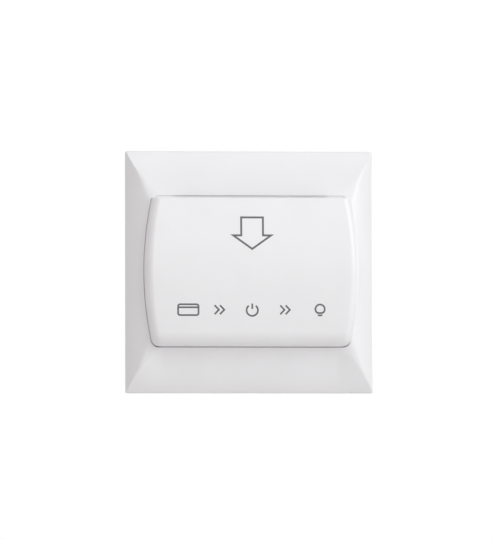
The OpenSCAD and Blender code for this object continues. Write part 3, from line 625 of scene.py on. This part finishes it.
def build_panel(material):
    """The card panel: a bowed shell with a rolled lower edge and a lip at the mouth of the slot."""
    obj = make("panel", loft([panel_section(y, top) for y, top in panel_slices()]), material)
    low = SKIRT_FOOT - PAST
    inside = [p for side in panel_outline(-SKIRT_WALL) for p in side[:-1]]
    combine(obj, prism(inside, low, CHANNEL_TOP), "DIFFERENCE")
    channel = block((-CHANNEL_HALF, 0, low), (CHANNEL_HALF, PANEL_TOP + PAST, CHANNEL_TOP))
    combine(obj, channel, "DIFFERENCE")
    for added in panel_ribs(CHANNEL_TOP + MERGE):
        combine(obj, added, "UNION")
    cuts = [bar(place, SCREW_R, CREST - PAST, SCREW_END) for place in BOSS_PLACES]
    cuts.append(block((-NOSE_HW, TIP_LOW, CREST), (NOSE_HW, TIP_HIGH, TIP_ROOM)))
    cuts.append(lip_chamfer())
    combine(obj, join(cuts), "DIFFERENCE")
    return obj


def panel_ribs(top):
    """What stands inside the panel: the card's guides, edge ribs and end stop, and the screw bosses."""
    stop = SKIRT_WALL - PANEL_LOW
    guide_end = PANEL_TOP - SKIRT_WALL + MERGE
    guides, ribs = [], []
    for s in (-1, 1):
        guide = sorted((s * CHANNEL_HALF, s * (CHANNEL_HALF + GUIDE_WALL)))
        rib = sorted((s * (CHANNEL_HALF - EDGE_RIB_W), s * (CHANNEL_HALF + MERGE)))
        guides.append(block((guide[0], stop - MERGE, CREST), (guide[1], guide_end, top)))
        ribs.append(block((rib[0], stop - MERGE, EDGE_RIB_H), (rib[1], PANEL_TOP - PAST, top)))
    half = CHANNEL_HALF + MERGE
    stop_bar = block((-half, stop - 2 * MERGE, EDGE_RIB_H - MERGE), (half, stop + STOP_BAR_D, top))
    bosses = [bar(place, BOSS_R, CREST, top) for place in BOSS_PLACES]
    return [join(guides), join(ribs), stop_bar, join(bosses)]


def lip_chamfer():
    """The wedge that is cut off the lip's inner edge."""
    first = PANEL_TOP - LIP_CHAMFER
    last = PANEL_TOP + PAST
    wedge = [
        (first, CHANNEL_TOP - MERGE), (first, CHANNEL_TOP),
        (last, CHANNEL_TOP + last - first), (last, CHANNEL_TOP - MERGE),
    ]
    return loft([[(x, y, h) for y, h in wedge] for x in (-CHANNEL_HALF, CHANNEL_HALF)])


# Print on the panel's face: an arrow, and signs for a card, power and a lamp

INK_T = 0.02
INK_SINK = 0.03
ARROW_LINE = 0.68
ARROW_TOP = 18.5
ARROW_SHOULDER = 12.1
ARROW_TIP = 7.3
ARROW_SHAFT_HW = 3.85
ARROW_HEAD_HW = 6.7
SIGN_LINE = 0.6
SIGN_Y = -14.2
SIGN_H = 4.4
CARD_SIGN_X = -22.6
CARD_SIGN_HW = 3.6
CARD_SIGN_R = 0.7
CARD_STRIPE_Y = 0.85
CHEVRON_XS = (-11.6, 11.6)
CHEVRON_W = 1.5
CHEVRON_HH = 0.36 * SIGN_H
CHEVRON_PITCH = 1.9
POWER_R = 2
POWER_Y = -0.15
POWER_GAP = 38
POWER_BAR_FOOT = 0.3
BULB_X = 24
BULB_R = 1.65
BULB_LEAN = 52
BULB_NECK_HW = 0.8
BULB_NECK_H = 1.1
# Steps of the power sign's ring and of the bulb, and the longest straight step of a printed line
POWER_STEPS = 32
BULB_STEPS = 24
INK_STEP = 2


def stroke(points, width, closed=False):
    """A printed line of a width along points of the panel's face."""
    points = close_steps(points, closed)
    stations = []
    for i, p in enumerate(points):
        before = points[i - 1] if closed or i > 0 else None
        after = points[(i + 1) % len(points)] if closed or i < len(points) - 1 else None
        ways = [across(a, b) for a, b in ((before, p), (p, after)) if a and b]
        bend = 1 + sum(a * b for a, b in zip(ways[0], ways[-1]))
        out = [(a + b) / bend * width / 2 for a, b in zip(ways[0], ways[-1])]
        left, right = (p[0] + out[0], p[1] + out[1]), (p[0] - out[0], p[1] - out[1])
        high = [(x, y, face_at(y) + INK_T) for x, y in (left, right)]
        low = [(x, y, face_at(y) - INK_SINK) for x, y in (right, left)]
        stations.append(high + low)
    return loft(stations, closed)


def close_steps(points, closed):
    """A line of points with more points on its long runs, so that it can follow the face."""
    ends = points[1:] + points[:1] if closed else points[1:]
    made = []
    for a, b in zip(points, ends):
        count = max(math.ceil(math.dist(a, b) / INK_STEP), 1)
        made += [mix(a, b, i / count) for i in range(count)]
    return made if closed else made + points[-1:]


def across(a, b):
    """Unit vector to the left of the way from one point to another."""
    length = math.dist(a, b)
    return (a[1] - b[1]) / length, (b[0] - a[0]) / length


def arrow_line():
    """Outline of an arrow that points down."""
    half = [
        (ARROW_SHAFT_HW, ARROW_TOP), (ARROW_SHAFT_HW, ARROW_SHOULDER), (ARROW_HEAD_HW, ARROW_SHOULDER),
    ]
    return half + [(0, ARROW_TIP)] + mirrored(half)


def card_sign():
    """A card with its stripe."""
    edge = round_rect(CARD_SIGN_HW, (SIGN_H - SIGN_LINE) / 2, CARD_SIGN_R)
    stripe = [(-CARD_SIGN_HW, CARD_STRIPE_Y), (CARD_SIGN_HW, CARD_STRIPE_Y)]
    return [(edge, True), (stripe, False)]


def chevron_sign():
    """Two chevrons that point to the right."""
    made = []
    for middle in (-CHEVRON_PITCH / 2, CHEVRON_PITCH / 2):
        back = middle - CHEVRON_W / 2
        made.append(([(back, CHEVRON_HH), (middle + CHEVRON_W / 2, 0), (back, -CHEVRON_HH)], False))
    return made


def power_sign():
    """A ring that is open at the top, with a bar in the opening."""
    ring_line = arc((0, POWER_Y), POWER_R, 90 + POWER_GAP, 90 + 360 - POWER_GAP, POWER_STEPS)
    return [(ring_line, False), ([(0, POWER_BAR_FOOT), (0, SIGN_H / 2)], False)]


def lamp_sign():
    """A lamp bulb over its cap."""
    centre = (0, SIGN_H / 2 - SIGN_LINE / 2 - BULB_R)
    bulb = arc(centre, BULB_R, BULB_LEAN - 90, 270 - BULB_LEAN, BULB_STEPS)
    neck = -SIGN_H / 2 + BULB_NECK_H
    foot = -SIGN_H / 2 + SIGN_LINE / 2
    glass = [(BULB_NECK_HW, neck)] + bulb + [(-BULB_NECK_HW, neck)]
    cap = [(-BULB_NECK_HW, foot), (BULB_NECK_HW, foot)]
    return [(glass, True), (cap, False)]


def build_print(material):
    """The arrow and the row of signs, printed on the panel's face."""
    arrow = make("print_arrow", stroke(arrow_line(), ARROW_LINE, True), material)
    signs = [(CARD_SIGN_X, card_sign()), (0, power_sign()), (BULB_X, lamp_sign())]
    signs += [(x, chevron_sign()) for x in CHEVRON_XS]
    lines = []
    for x, sign in signs:
        for points, closed in sign:
            lines.append(stroke([(x + p[0], SIGN_Y + p[1]) for p in points], SIGN_LINE, closed))
    row = make("print_signs", join(lines), material)
    return [arrow, row]


# Lever spring

PIVOT_Y = -2
PIVOT_H = 5.4
WIRE_R = 0.25
COIL_R = 2.65
COIL_TURNS = 4
COIL_PITCH = 1
COIL_RIGHT = 8.2
COIL_LEFT = COIL_RIGHT - COIL_PITCH * COIL_TURNS
FIXED_LEG = 9
MOVING_LEG = 11
# Steps of a turn and of a leg, and sides of the wire
COIL_STEPS = 28
LEG_STEPS = 6
WIRE_SIDES = 12


def build_spring(material):
    """The torsion spring: the leg on the base plate, the turns and the leg behind the arm."""
    path = [(COIL_RIGHT, y, -COIL_R) for y in fine_steps(FIXED_LEG, 0, LEG_STEPS)[:-1]]
    for i in range(COIL_TURNS * COIL_STEPS + 1):
        a = math.tau * i / COIL_STEPS
        x = COIL_RIGHT - COIL_PITCH * i / COIL_STEPS
        path.append((x, -COIL_R * math.sin(a), -COIL_R * math.cos(a)))
    path += [(COIL_LEFT, y, -COIL_R) for y in fine_steps(0, -MOVING_LEG, LEG_STEPS)[1:]]
    points = [Vector((x, y + PIVOT_Y, h + PIVOT_H)) for x, y, h in path]
    turns = [math.tau * k / WIRE_SIDES for k in range(WIRE_SIDES)]
    rings = []
    for i, p in enumerate(points):
        way = (points[min(i + 1, len(points) - 1)] - points[max(i - 1, 0)]).normalized()
        side = way.cross(Vector((1, 0, 0))).normalized()
        up = side.cross(way)
        rings.append([tuple(p + WIRE_R * (side * math.cos(t) + up * math.sin(t))) for t in turns])
    return make("spring", loft(rings), material)


# Rear housing

HOUSING_HW = 25.5
HOUSING_HH = 30
HOUSING_FRONT = 0.8
HOUSING_REAR = -30
HOUSING_WALL = 1.6
HOUSING_CORNER = 2.2
HOUSING_EDGE = 1.2
HOUSING_EDGE_STEPS = 8
HOUSING_INNER_CORNER = 0.8
HOUSING_BOSS_R = 2.4
HOUSING_BOSS_X = 21.9
HOUSING_BOSS_Y = 26.4
HOUSING_BOSSES = in_corners(HOUSING_BOSS_X, HOUSING_BOSS_Y)
HOUSING_SCREW_END = -8.8
# The notch for the terminals, and the partition round it
NOTCH_HW = 18.6
NOTCH_TOP = -14.8
NOTCH_FRONT = -12.5
PARTITION_FRONT = -12.9
POLE_XS = (13.5, 4.5, -4.5, -13.5)
# The bare field for a label, and the pole numbers over the terminals
LABEL_HW = 17
LABEL_HH = 14.5
LABEL_MIDDLE = (0, 8.5)
LABEL_R = 1.5
LABEL_DEPTH = 0.35
DIGIT_Y = -10.6
DIGIT_HW = 0.85
DIGIT_HH = 1.5
DIGIT_LINE = 0.5
DIGIT_DEPTH = 0.3
# Bars of a digit, each from one point to another in half widths and half heights
DIGIT_BARS = {
    "top": ((-1, 1), (1, 1)), "middle": ((-1, 0), (1, 0)), "bottom": ((-1, -1), (1, -1)),
    "left_high": ((-1, 0), (-1, 1)), "left_low": ((-1, -1), (-1, 0)),
    "right_high": ((1, 0), (1, 1)), "right_low": ((1, -1), (1, 0)), "stem": ((0, -1), (0, 1)),
}
# Bars of the digits 1 to 4
DIGITS = (
    ("stem",),
    ("top", "right_high", "middle", "left_low", "bottom"),
    ("top", "right_high", "middle", "right_low", "bottom"),
    ("left_high", "right_high", "middle", "right_low"),
)


def housing_block():
    """The housing's outside, with a rounded rear edge."""
    rings = [[(x, y, HOUSING_FRONT) for x, y in round_rect(HOUSING_HW, HOUSING_HH, HOUSING_CORNER)]]
    for a in fine_steps(0, math.pi / 2, HOUSING_EDGE_STEPS):
        inset = HOUSING_EDGE * (1 - math.cos(a))
        h = HOUSING_REAR + HOUSING_EDGE * (1 - math.sin(a))
        outline = round_rect(HOUSING_HW - inset, HOUSING_HH - inset, HOUSING_CORNER - inset)
        rings.append([(x, y, h) for x, y in outline])
    return loft(rings)


def housing_cuts():
    """The notch for the terminals, the screw holes and the bare label field."""
    past = HOUSING_REAR - PAST
    cuts = [block((-NOTCH_HW, -HOUSING_HH - PAST, past), (NOTCH_HW, NOTCH_TOP, NOTCH_FRONT))]
    cuts += [bar(place, SCREW_R, HOUSING_SCREW_END, HOUSING_FRONT + PAST) for place in HOUSING_BOSSES]
    label = round_rect(LABEL_HW, LABEL_HH, LABEL_R, LABEL_MIDDLE)
    cuts.append(prism(label, past, HOUSING_REAR + LABEL_DEPTH))
    return join(cuts)


def build_housing(material):
    """The housing behind the wall plate: a rounded box with a notch for the terminals."""
    obj = make("housing", housing_block(), material)
    inner = round_rect(HOUSING_HW - HOUSING_WALL, HOUSING_HH - HOUSING_WALL, HOUSING_INNER_CORNER)
    combine(obj, prism(inner, HOUSING_REAR + HOUSING_WALL, HOUSING_FRONT + PAST), "DIFFERENCE")
    partition_hw = NOTCH_HW + HOUSING_WALL
    partition = block(
        (-partition_hw, MERGE - HOUSING_HH + HOUSING_CORNER, HOUSING_REAR + HOUSING_EDGE),
        (partition_hw, NOTCH_TOP + HOUSING_WALL, PARTITION_FRONT),
    )
    combine(obj, partition, "UNION")
    bosses = [bar(p, HOUSING_BOSS_R, HOUSING_REAR + HOUSING_EDGE, HOUSING_FRONT) for p in HOUSING_BOSSES]
    combine(obj, join(bosses), "UNION")
    combine(obj, housing_cuts(), "DIFFERENCE")
    for x, bars in zip(POLE_XS, DIGITS):
        for name in bars:
            combine(obj, digit_bar(x, *DIGIT_BARS[name]), "DIFFERENCE")
    return obj


def digit_bar(x, first, last):
    """One bar of a digit that is cut into the housing's rear, to be read from behind."""
    ends = [(x - p[0] * DIGIT_HW, DIGIT_Y + p[1] * DIGIT_HH) for p in (first, last)]
    low = [min(p[k] for p in ends) - DIGIT_LINE / 2 for k in (0, 1)]
    high = [max(p[k] for p in ends) + DIGIT_LINE / 2 for k in (0, 1)]
    return block((*low, HOUSING_REAR - PAST), (*high, HOUSING_REAR + DIGIT_DEPTH))


# Nodes that keep their shape and get rounded edges

# Angle in degrees up to which two faces count as one plane
FLAT_ANGLE = 0.5
# Least angle in degrees and least length of an edge that is rounded, and the round's steps and fullness
EDGE_ANGLE = 40
EDGE_LEAST = 1
EDGE_STEPS = 3
EDGE_FULLNESS = 0.5
# How wide each node's edges are rounded
NODE_EDGES = {
    "base_plate": 0.25, "terminal_block": 0.2, "terminal_cages": 0.1, "terminal_screws": 0.12,
    "relay": 0.4, "film_capacitor": 0.6, "bridge_rectifier": 0.3,
    "microswitch_body": 0.15, "microswitch_cover": 0.15,
}


def rounded(node, width, material):
    """A copy of a node with its long outward edges rounded."""
    work = bmesh.new()
    work.from_mesh(node.data)
    bmesh.ops.remove_doubles(work, verts=work.verts, dist=SAME_PLACE)
    bmesh.ops.recalc_face_normals(work, faces=work.faces)
    flat = math.radians(FLAT_ANGLE)
    bmesh.ops.dissolve_limit(work, angle_limit=flat, verts=work.verts, edges=work.edges)
    least = math.radians(EDGE_ANGLE)
    edges = [
        edge for edge in work.edges
        if edge.calc_face_angle_signed() > least and edge.calc_length() > EDGE_LEAST * MM
    ]
    bmesh.ops.bevel(
        work, geom=edges, offset=width * MM, offset_type="OFFSET",
        segments=EDGE_STEPS, profile=EDGE_FULLNESS, affect="EDGES",
    )
    mesh = bpy.data.meshes.new(node.name + "_rounded")
    work.to_mesh(mesh)
    work.free()
    obj = bpy.data.objects.new(mesh.name, mesh)
    bpy.context.scene.collection.objects.link(obj)
    finish_mesh(obj, material)
    obj.modifiers.new("shade", "WEIGHTED_NORMAL").keep_sharp = True
    return obj


# Materials

NOISE_DETAIL = 4
# Moulded finish: the scales of its colour, gloss and grain, in cells a metre, and how far they go
COLOUR_SCALE = 60
COLOUR_SPAN = (0.3, 0.7)
COLOUR_VARY = 0.03
GLOSS_SCALE = 400
GLOSS_VARY = 0.15
GRAIN_SCALE = 2500
GRAIN_DEPTH = 0.00001
# Circuit board: a brick pattern whose joints are the tracks, and its gloss
BOARD_PATTERN = {
    "Scale": 130, "Brick Width": 1.7, "Row Height": 0.16, "Mortar Size": 0.025, "Mortar Smooth": 0.2,
    "Color1": (0.028, 0.15, 0.065, 1), "Color2": (0.034, 0.17, 0.075, 1),
    "Mortar": (0.07, 0.27, 0.11, 1),
}
BOARD_ROWS = {"offset": 0.37, "offset_frequency": 3, "squash": 1.8, "squash_frequency": 5}
TRACK_HEIGHT = 0.00004
BOARD_GLOSS = (0.25, 0.4)
BOARD_GLOSS_SCALE = 500


def shader(name):
    """A new material, with its nodes, its links and its principled shader."""
    made = bpy.data.materials.new(name)
    made.use_nodes = True
    tree = made.node_tree
    return made, tree.nodes, tree.links, tree.nodes["Principled BSDF"]


def noise(nodes, links, scale, stretch=None):
    """A noise texture in the object's own coordinates, in metres."""
    place = nodes.new("ShaderNodeTexCoord").outputs["Object"]
    if stretch:
        mapping = nodes.new("ShaderNodeMapping")
        mapping.inputs["Scale"].default_value = stretch
        links.new(place, mapping.inputs["Vector"])
        place = mapping.outputs["Vector"]
    texture = nodes.new("ShaderNodeTexNoise")
    texture.inputs["Scale"].default_value = scale
    texture.inputs["Detail"].default_value = NOISE_DETAIL
    links.new(place, texture.inputs["Vector"])
    return texture.outputs["Fac"]


def uneven_gloss(nodes, links, out, scale, low, high, stretch=None):
    """A roughness that drifts between two values."""
    gloss = nodes.new("ShaderNodeMapRange")
    gloss.inputs["To Min"].default_value = low
    gloss.inputs["To Max"].default_value = high
    links.new(noise(nodes, links, scale, stretch), gloss.inputs["Value"])
    links.new(gloss.outputs["Result"], out.inputs["Roughness"])


def raised(nodes, links, out, height, distance):
    """A relief that follows a pattern, up to a distance in metres."""
    bump = nodes.new("ShaderNodeBump")
    bump.inputs["Distance"].default_value = distance
    links.new(height, bump.inputs["Height"])
    links.new(bump.outputs["Normal"], out.inputs["Normal"])


def moulded(
    name, colour, roughness, vary=COLOUR_VARY,
    grain=GRAIN_SCALE, depth=GRAIN_DEPTH, metallic=0, stretch=None,
):
    """A finish with a drifting colour, an uneven gloss and a fine grain."""
    made, nodes, links, out = shader(name)
    ramp = nodes.new("ShaderNodeValToRGB")
    elements = ramp.color_ramp.elements
    for element, place, way in zip(elements, COLOUR_SPAN, (1 - vary, 1 + vary)):
        element.position = place
        element.color = (*(min(c * way, 1) for c in colour), 1)
    links.new(noise(nodes, links, COLOUR_SCALE), ramp.inputs["Fac"])
    links.new(ramp.outputs["Color"], out.inputs["Base Color"])
    low, high = roughness * (1 - GLOSS_VARY), roughness * (1 + GLOSS_VARY)
    uneven_gloss(nodes, links, out, GLOSS_SCALE, low, high, stretch)
    raised(nodes, links, out, noise(nodes, links, grain, stretch), depth)
    out.inputs["Metallic"].default_value = metallic
    return made


def laminate(name):
    """Green solder mask with copper tracks showing paler under it."""
    made, nodes, links, out = shader(name)
    turn = nodes.new("ShaderNodeMapping")
    turn.inputs["Rotation"].default_value = (math.pi / 2, 0, 0)
    links.new(nodes.new("ShaderNodeTexCoord").outputs["Object"], turn.inputs["Vector"])
    tracks = nodes.new("ShaderNodeTexBrick")
    for row, value in BOARD_ROWS.items():
        setattr(tracks, row, value)
    for socket, value in BOARD_PATTERN.items():
        tracks.inputs[socket].default_value = value
    links.new(turn.outputs["Vector"], tracks.inputs["Vector"])
    links.new(tracks.outputs["Color"], out.inputs["Base Color"])
    uneven_gloss(nodes, links, out, BOARD_GLOSS_SCALE, *BOARD_GLOSS)
    raised(nodes, links, out, tracks.outputs["Fac"], TRACK_HEIGHT)
    return made


# Camera, light and floor

# Camera: degrees to the right, up and of roll, its lens, the height that it frames and the point it faces
VIEW_AZIMUTH = -4.2
VIEW_ELEVATION = -3.6
ROLL = -0.13
LENS = 400
SENSOR = 36
FRAME_HEIGHT = 191.82
AIM = (-0.96, 0.76, 3.54)
# Lamps: degrees to the right and up, distance, size, power in watts and tint
LAMPS = {
    "key": (57, 15, 1200, 500, 4.4, (0.95, 0.98, 1)),
    "top": (0, 70, 1200, 500, 1.68, (0.85, 0.93, 1)),
    "front": (0, 25, 350, 250, 0.262, (0.95, 1, 1)),
    "back": (155, 12, 1200, 500, 3.6, (1, 1, 1)),
}
AMBIENT = 0.512
AMBIENT_TINT = (1, 0.96, 0.95, 1)
FLOOR_DROP = 200
FLOOR_SIZE = 3000
FLOOR_T = 10
FLOOR_COLOUR = (0.88, 0.88, 0.88)
FLOOR_ROUGHNESS = 0.9
# How much of plain white the floor shows the camera under the object, rising to all of it at its edges
FLOOR_PALE = 0.8


def aim_camera():
    """A long lens at the photograph's angle."""
    data = bpy.data.cameras.new("camera")
    data.lens = LENS
    data.sensor_width = SENSOR
    camera = bpy.data.objects.new("camera", data)
    back = way_to(VIEW_AZIMUTH, VIEW_ELEVATION)
    camera.location = at(*AIM) + back * FRAME_HEIGHT * LENS / SENSOR * MM
    upright = (-back).to_track_quat("-Z", "Y")
    camera.rotation_euler = (Quaternion(back, math.radians(ROLL)) @ upright).to_euler()
    bpy.context.scene.collection.objects.link(camera)
    bpy.context.scene.camera = camera


def way_to(azimuth, elevation):
    """Unit vector from the object to a place that lies to the right and up, in degrees."""
    a, e = math.radians(azimuth), math.radians(elevation)
    return Vector((math.sin(a) * math.cos(e), -math.cos(a) * math.cos(e), math.sin(e)))


def add_lamp(name, azimuth, elevation, distance, size, power, tint):
    """A square soft light that faces the middle of the object."""
    data = bpy.data.lights.new(name, "AREA")
    data.size = size * MM
    data.energy = power
    data.color = tint
    lamp = bpy.data.objects.new(name, data)
    towards = way_to(azimuth, elevation)
    lamp.location = towards * distance * MM
    lamp.rotation_euler = towards.to_track_quat("Z", "Y").to_euler()
    lamp.visible_camera = False
    bpy.context.scene.collection.objects.link(lamp)


def seen_ray(nodes, links):
    """1 for a ray from the camera, or one that gloss or glass sends on, and 0 for light."""
    path = nodes.new("ShaderNodeLightPath")
    seen = path.outputs["Is Camera Ray"]
    for kind in ("Is Glossy Ray", "Is Transmission Ray"):
        either = nodes.new("ShaderNodeMath")
        either.operation = "MAXIMUM"
        links.new(seen, either.inputs[0])
        links.new(path.outputs[kind], either.inputs[1])
        seen = either.outputs["Value"]
    return seen


def light_world():
    """An even light all round, and plain white where the camera or gloss looks past the object."""
    world = bpy.data.worlds.new("studio")
    bpy.context.scene.world = world
    world.use_nodes = True
    nodes, links = world.node_tree.nodes, world.node_tree.links
    soft = nodes["Background"]
    soft.inputs["Color"].default_value = AMBIENT_TINT
    soft.inputs["Strength"].default_value = AMBIENT
    white = nodes.new("ShaderNodeBackground")
    white.inputs["Color"].default_value = (1, 1, 1, 1)
    choice = nodes.new("ShaderNodeMixShader")
    links.new(seen_ray(nodes, links), choice.inputs["Fac"])
    links.new(soft.outputs["Background"], choice.inputs[1])
    links.new(white.outputs["Background"], choice.inputs[2])
    links.new(choice.outputs["Shader"], nodes["World Output"].inputs["Surface"])


def floor_finish():
    """A pale matt finish that shows the camera mostly plain white, and keeps some of the shadow."""
    made, nodes, links, out = shader("floor")
    out.inputs["Base Color"].default_value = (*FLOOR_COLOUR, 1)
    out.inputs["Roughness"].default_value = FLOOR_ROUGHNESS
    out.inputs["Specular IOR Level"].default_value = 0
    pale = nodes.new("ShaderNodeEmission")
    away = nodes.new("ShaderNodeVectorMath")
    away.operation = "LENGTH"
    links.new(nodes.new("ShaderNodeTexCoord").outputs["Object"], away.inputs[0])
    share = nodes.new("ShaderNodeMapRange")
    share.interpolation_type = "SMOOTHSTEP"
    share.inputs["From Min"].default_value = FLOOR_DROP * MM
    share.inputs["From Max"].default_value = FLOOR_SIZE / 2 * MM
    share.inputs["To Min"].default_value = FLOOR_PALE
    links.new(away.outputs["Value"], share.inputs["Value"])
    shown = nodes.new("ShaderNodeMath")
    shown.operation = "MULTIPLY"
    links.new(seen_ray(nodes, links), shown.inputs[0])
    links.new(share.outputs["Result"], shown.inputs[1])
    choice = nodes.new("ShaderNodeMixShader")
    links.new(shown.outputs["Value"], choice.inputs["Fac"])
    links.new(out.outputs["BSDF"], choice.inputs[1])
    links.new(pale.outputs["Emission"], choice.inputs[2])
    links.new(choice.outputs["Shader"], nodes["Material Output"].inputs["Surface"])
    return made


def lay_floor():
    """A plain pale floor below the object."""
    half = FLOOR_SIZE / 2
    slab = block((-half, -FLOOR_DROP - FLOOR_T, -half), (half, -FLOOR_DROP, half))
    floor = make("floor", slab, floor_finish())


# Finishes of the record's slots: colour, roughness and what differs from a plain moulding
MOULDINGS = {
    "white_plastic": dict(colour=(0.85, 0.84, 0.85), roughness=0.34, vary=0.012),
    "chassis_plastic": dict(
        colour=(0.66, 0.66, 0.65), roughness=0.5, vary=0.02, grain=3000, depth=0.00003,
    ),
    "lever_plastic": dict(colour=(0.82, 0.82, 0.81), roughness=0.38, vary=0.015),
    "zinc_steel": dict(
        colour=(0.62, 0.63, 0.65), roughness=0.3, vary=0.06, metallic=1, stretch=(1, 1, 0.1),
    ),
    "spring_steel": dict(
        colour=(0.45, 0.46, 0.48), roughness=0.28, vary=0.05, metallic=1, stretch=(0.1, 1, 1),
    ),
    "black_plastic": dict(colour=(0.025, 0.026, 0.028), roughness=0.45, vary=0.1, depth=0.00002),
    "red_plastic": dict(colour=(0.45, 0.04, 0.03), roughness=0.4, vary=0.05),
    "contact_brass": dict(
        colour=(0.72, 0.53, 0.24), roughness=0.27, vary=0.08, metallic=1, stretch=(1, 0.1, 1),
    ),
    "film_case": dict(colour=(0.55, 0.44, 0.08), roughness=0.42, vary=0.05),
    "can_sleeve": dict(colour=(0.03, 0.05, 0.13), roughness=0.25, vary=0.1),
    "fuse_case": dict(colour=(0.2, 0.08, 0.03), roughness=0.45, vary=0.08),
    "varistor_coat": dict(
        colour=(0.03, 0.11, 0.38), roughness=0.22, vary=0.08, grain=700, depth=0.00004,
    ),
    "terminal_plastic": dict(colour=(0.8, 0.79, 0.74), roughness=0.42, vary=0.02, depth=0.00002),
}
FINISH = {slot: moulded(slot, **values) for slot, values in MOULDINGS.items()}
FINISH["board_laminate"] = laminate("board_laminate")
INK = moulded("print_ink", colour=(0.12, 0.12, 0.125), roughness=0.5)

# Each node's slot and body, from the record
SLOT_OF = {subpart["node"]: subpart["material_slot"] for subpart in frame["record"]["subparts"]}
BODIES = frame["record"]["behaviour"]["bodies"]
BODY_OF = {node: body for body, nodes in BODIES.items() for node in nodes}

for name, slot in SLOT_OF.items():
    node = frame["nodes"][name]
    node.data.materials.clear()
    node.data.materials.append(FINISH[slot])
for name, width in NODE_EDGES.items():
    piece = rounded(frame["nodes"][name], width, FINISH[SLOT_OF[name]])
    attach(piece, BODY_OF[name])
    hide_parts(name)

surround = build_surround(FINISH["white_plastic"])
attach(surround, "base")
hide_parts("front_frame")
panel = build_panel(FINISH["white_plastic"])
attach(panel, "base")
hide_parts("card_panel")
for piece in build_print(INK):
    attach(piece, "base")
housing = build_housing(FINISH["chassis_plastic"])
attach(housing, "base")
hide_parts("rear_housing")
spring = build_spring(FINISH["spring_steel"])
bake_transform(spring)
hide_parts("lever_spring")

bpy.context.scene.view_settings.view_transform = "Standard"
aim_camera()
for name, lamp in LAMPS.items():
    add_lamp(name, *lamp)
light_world()
lay_floor()
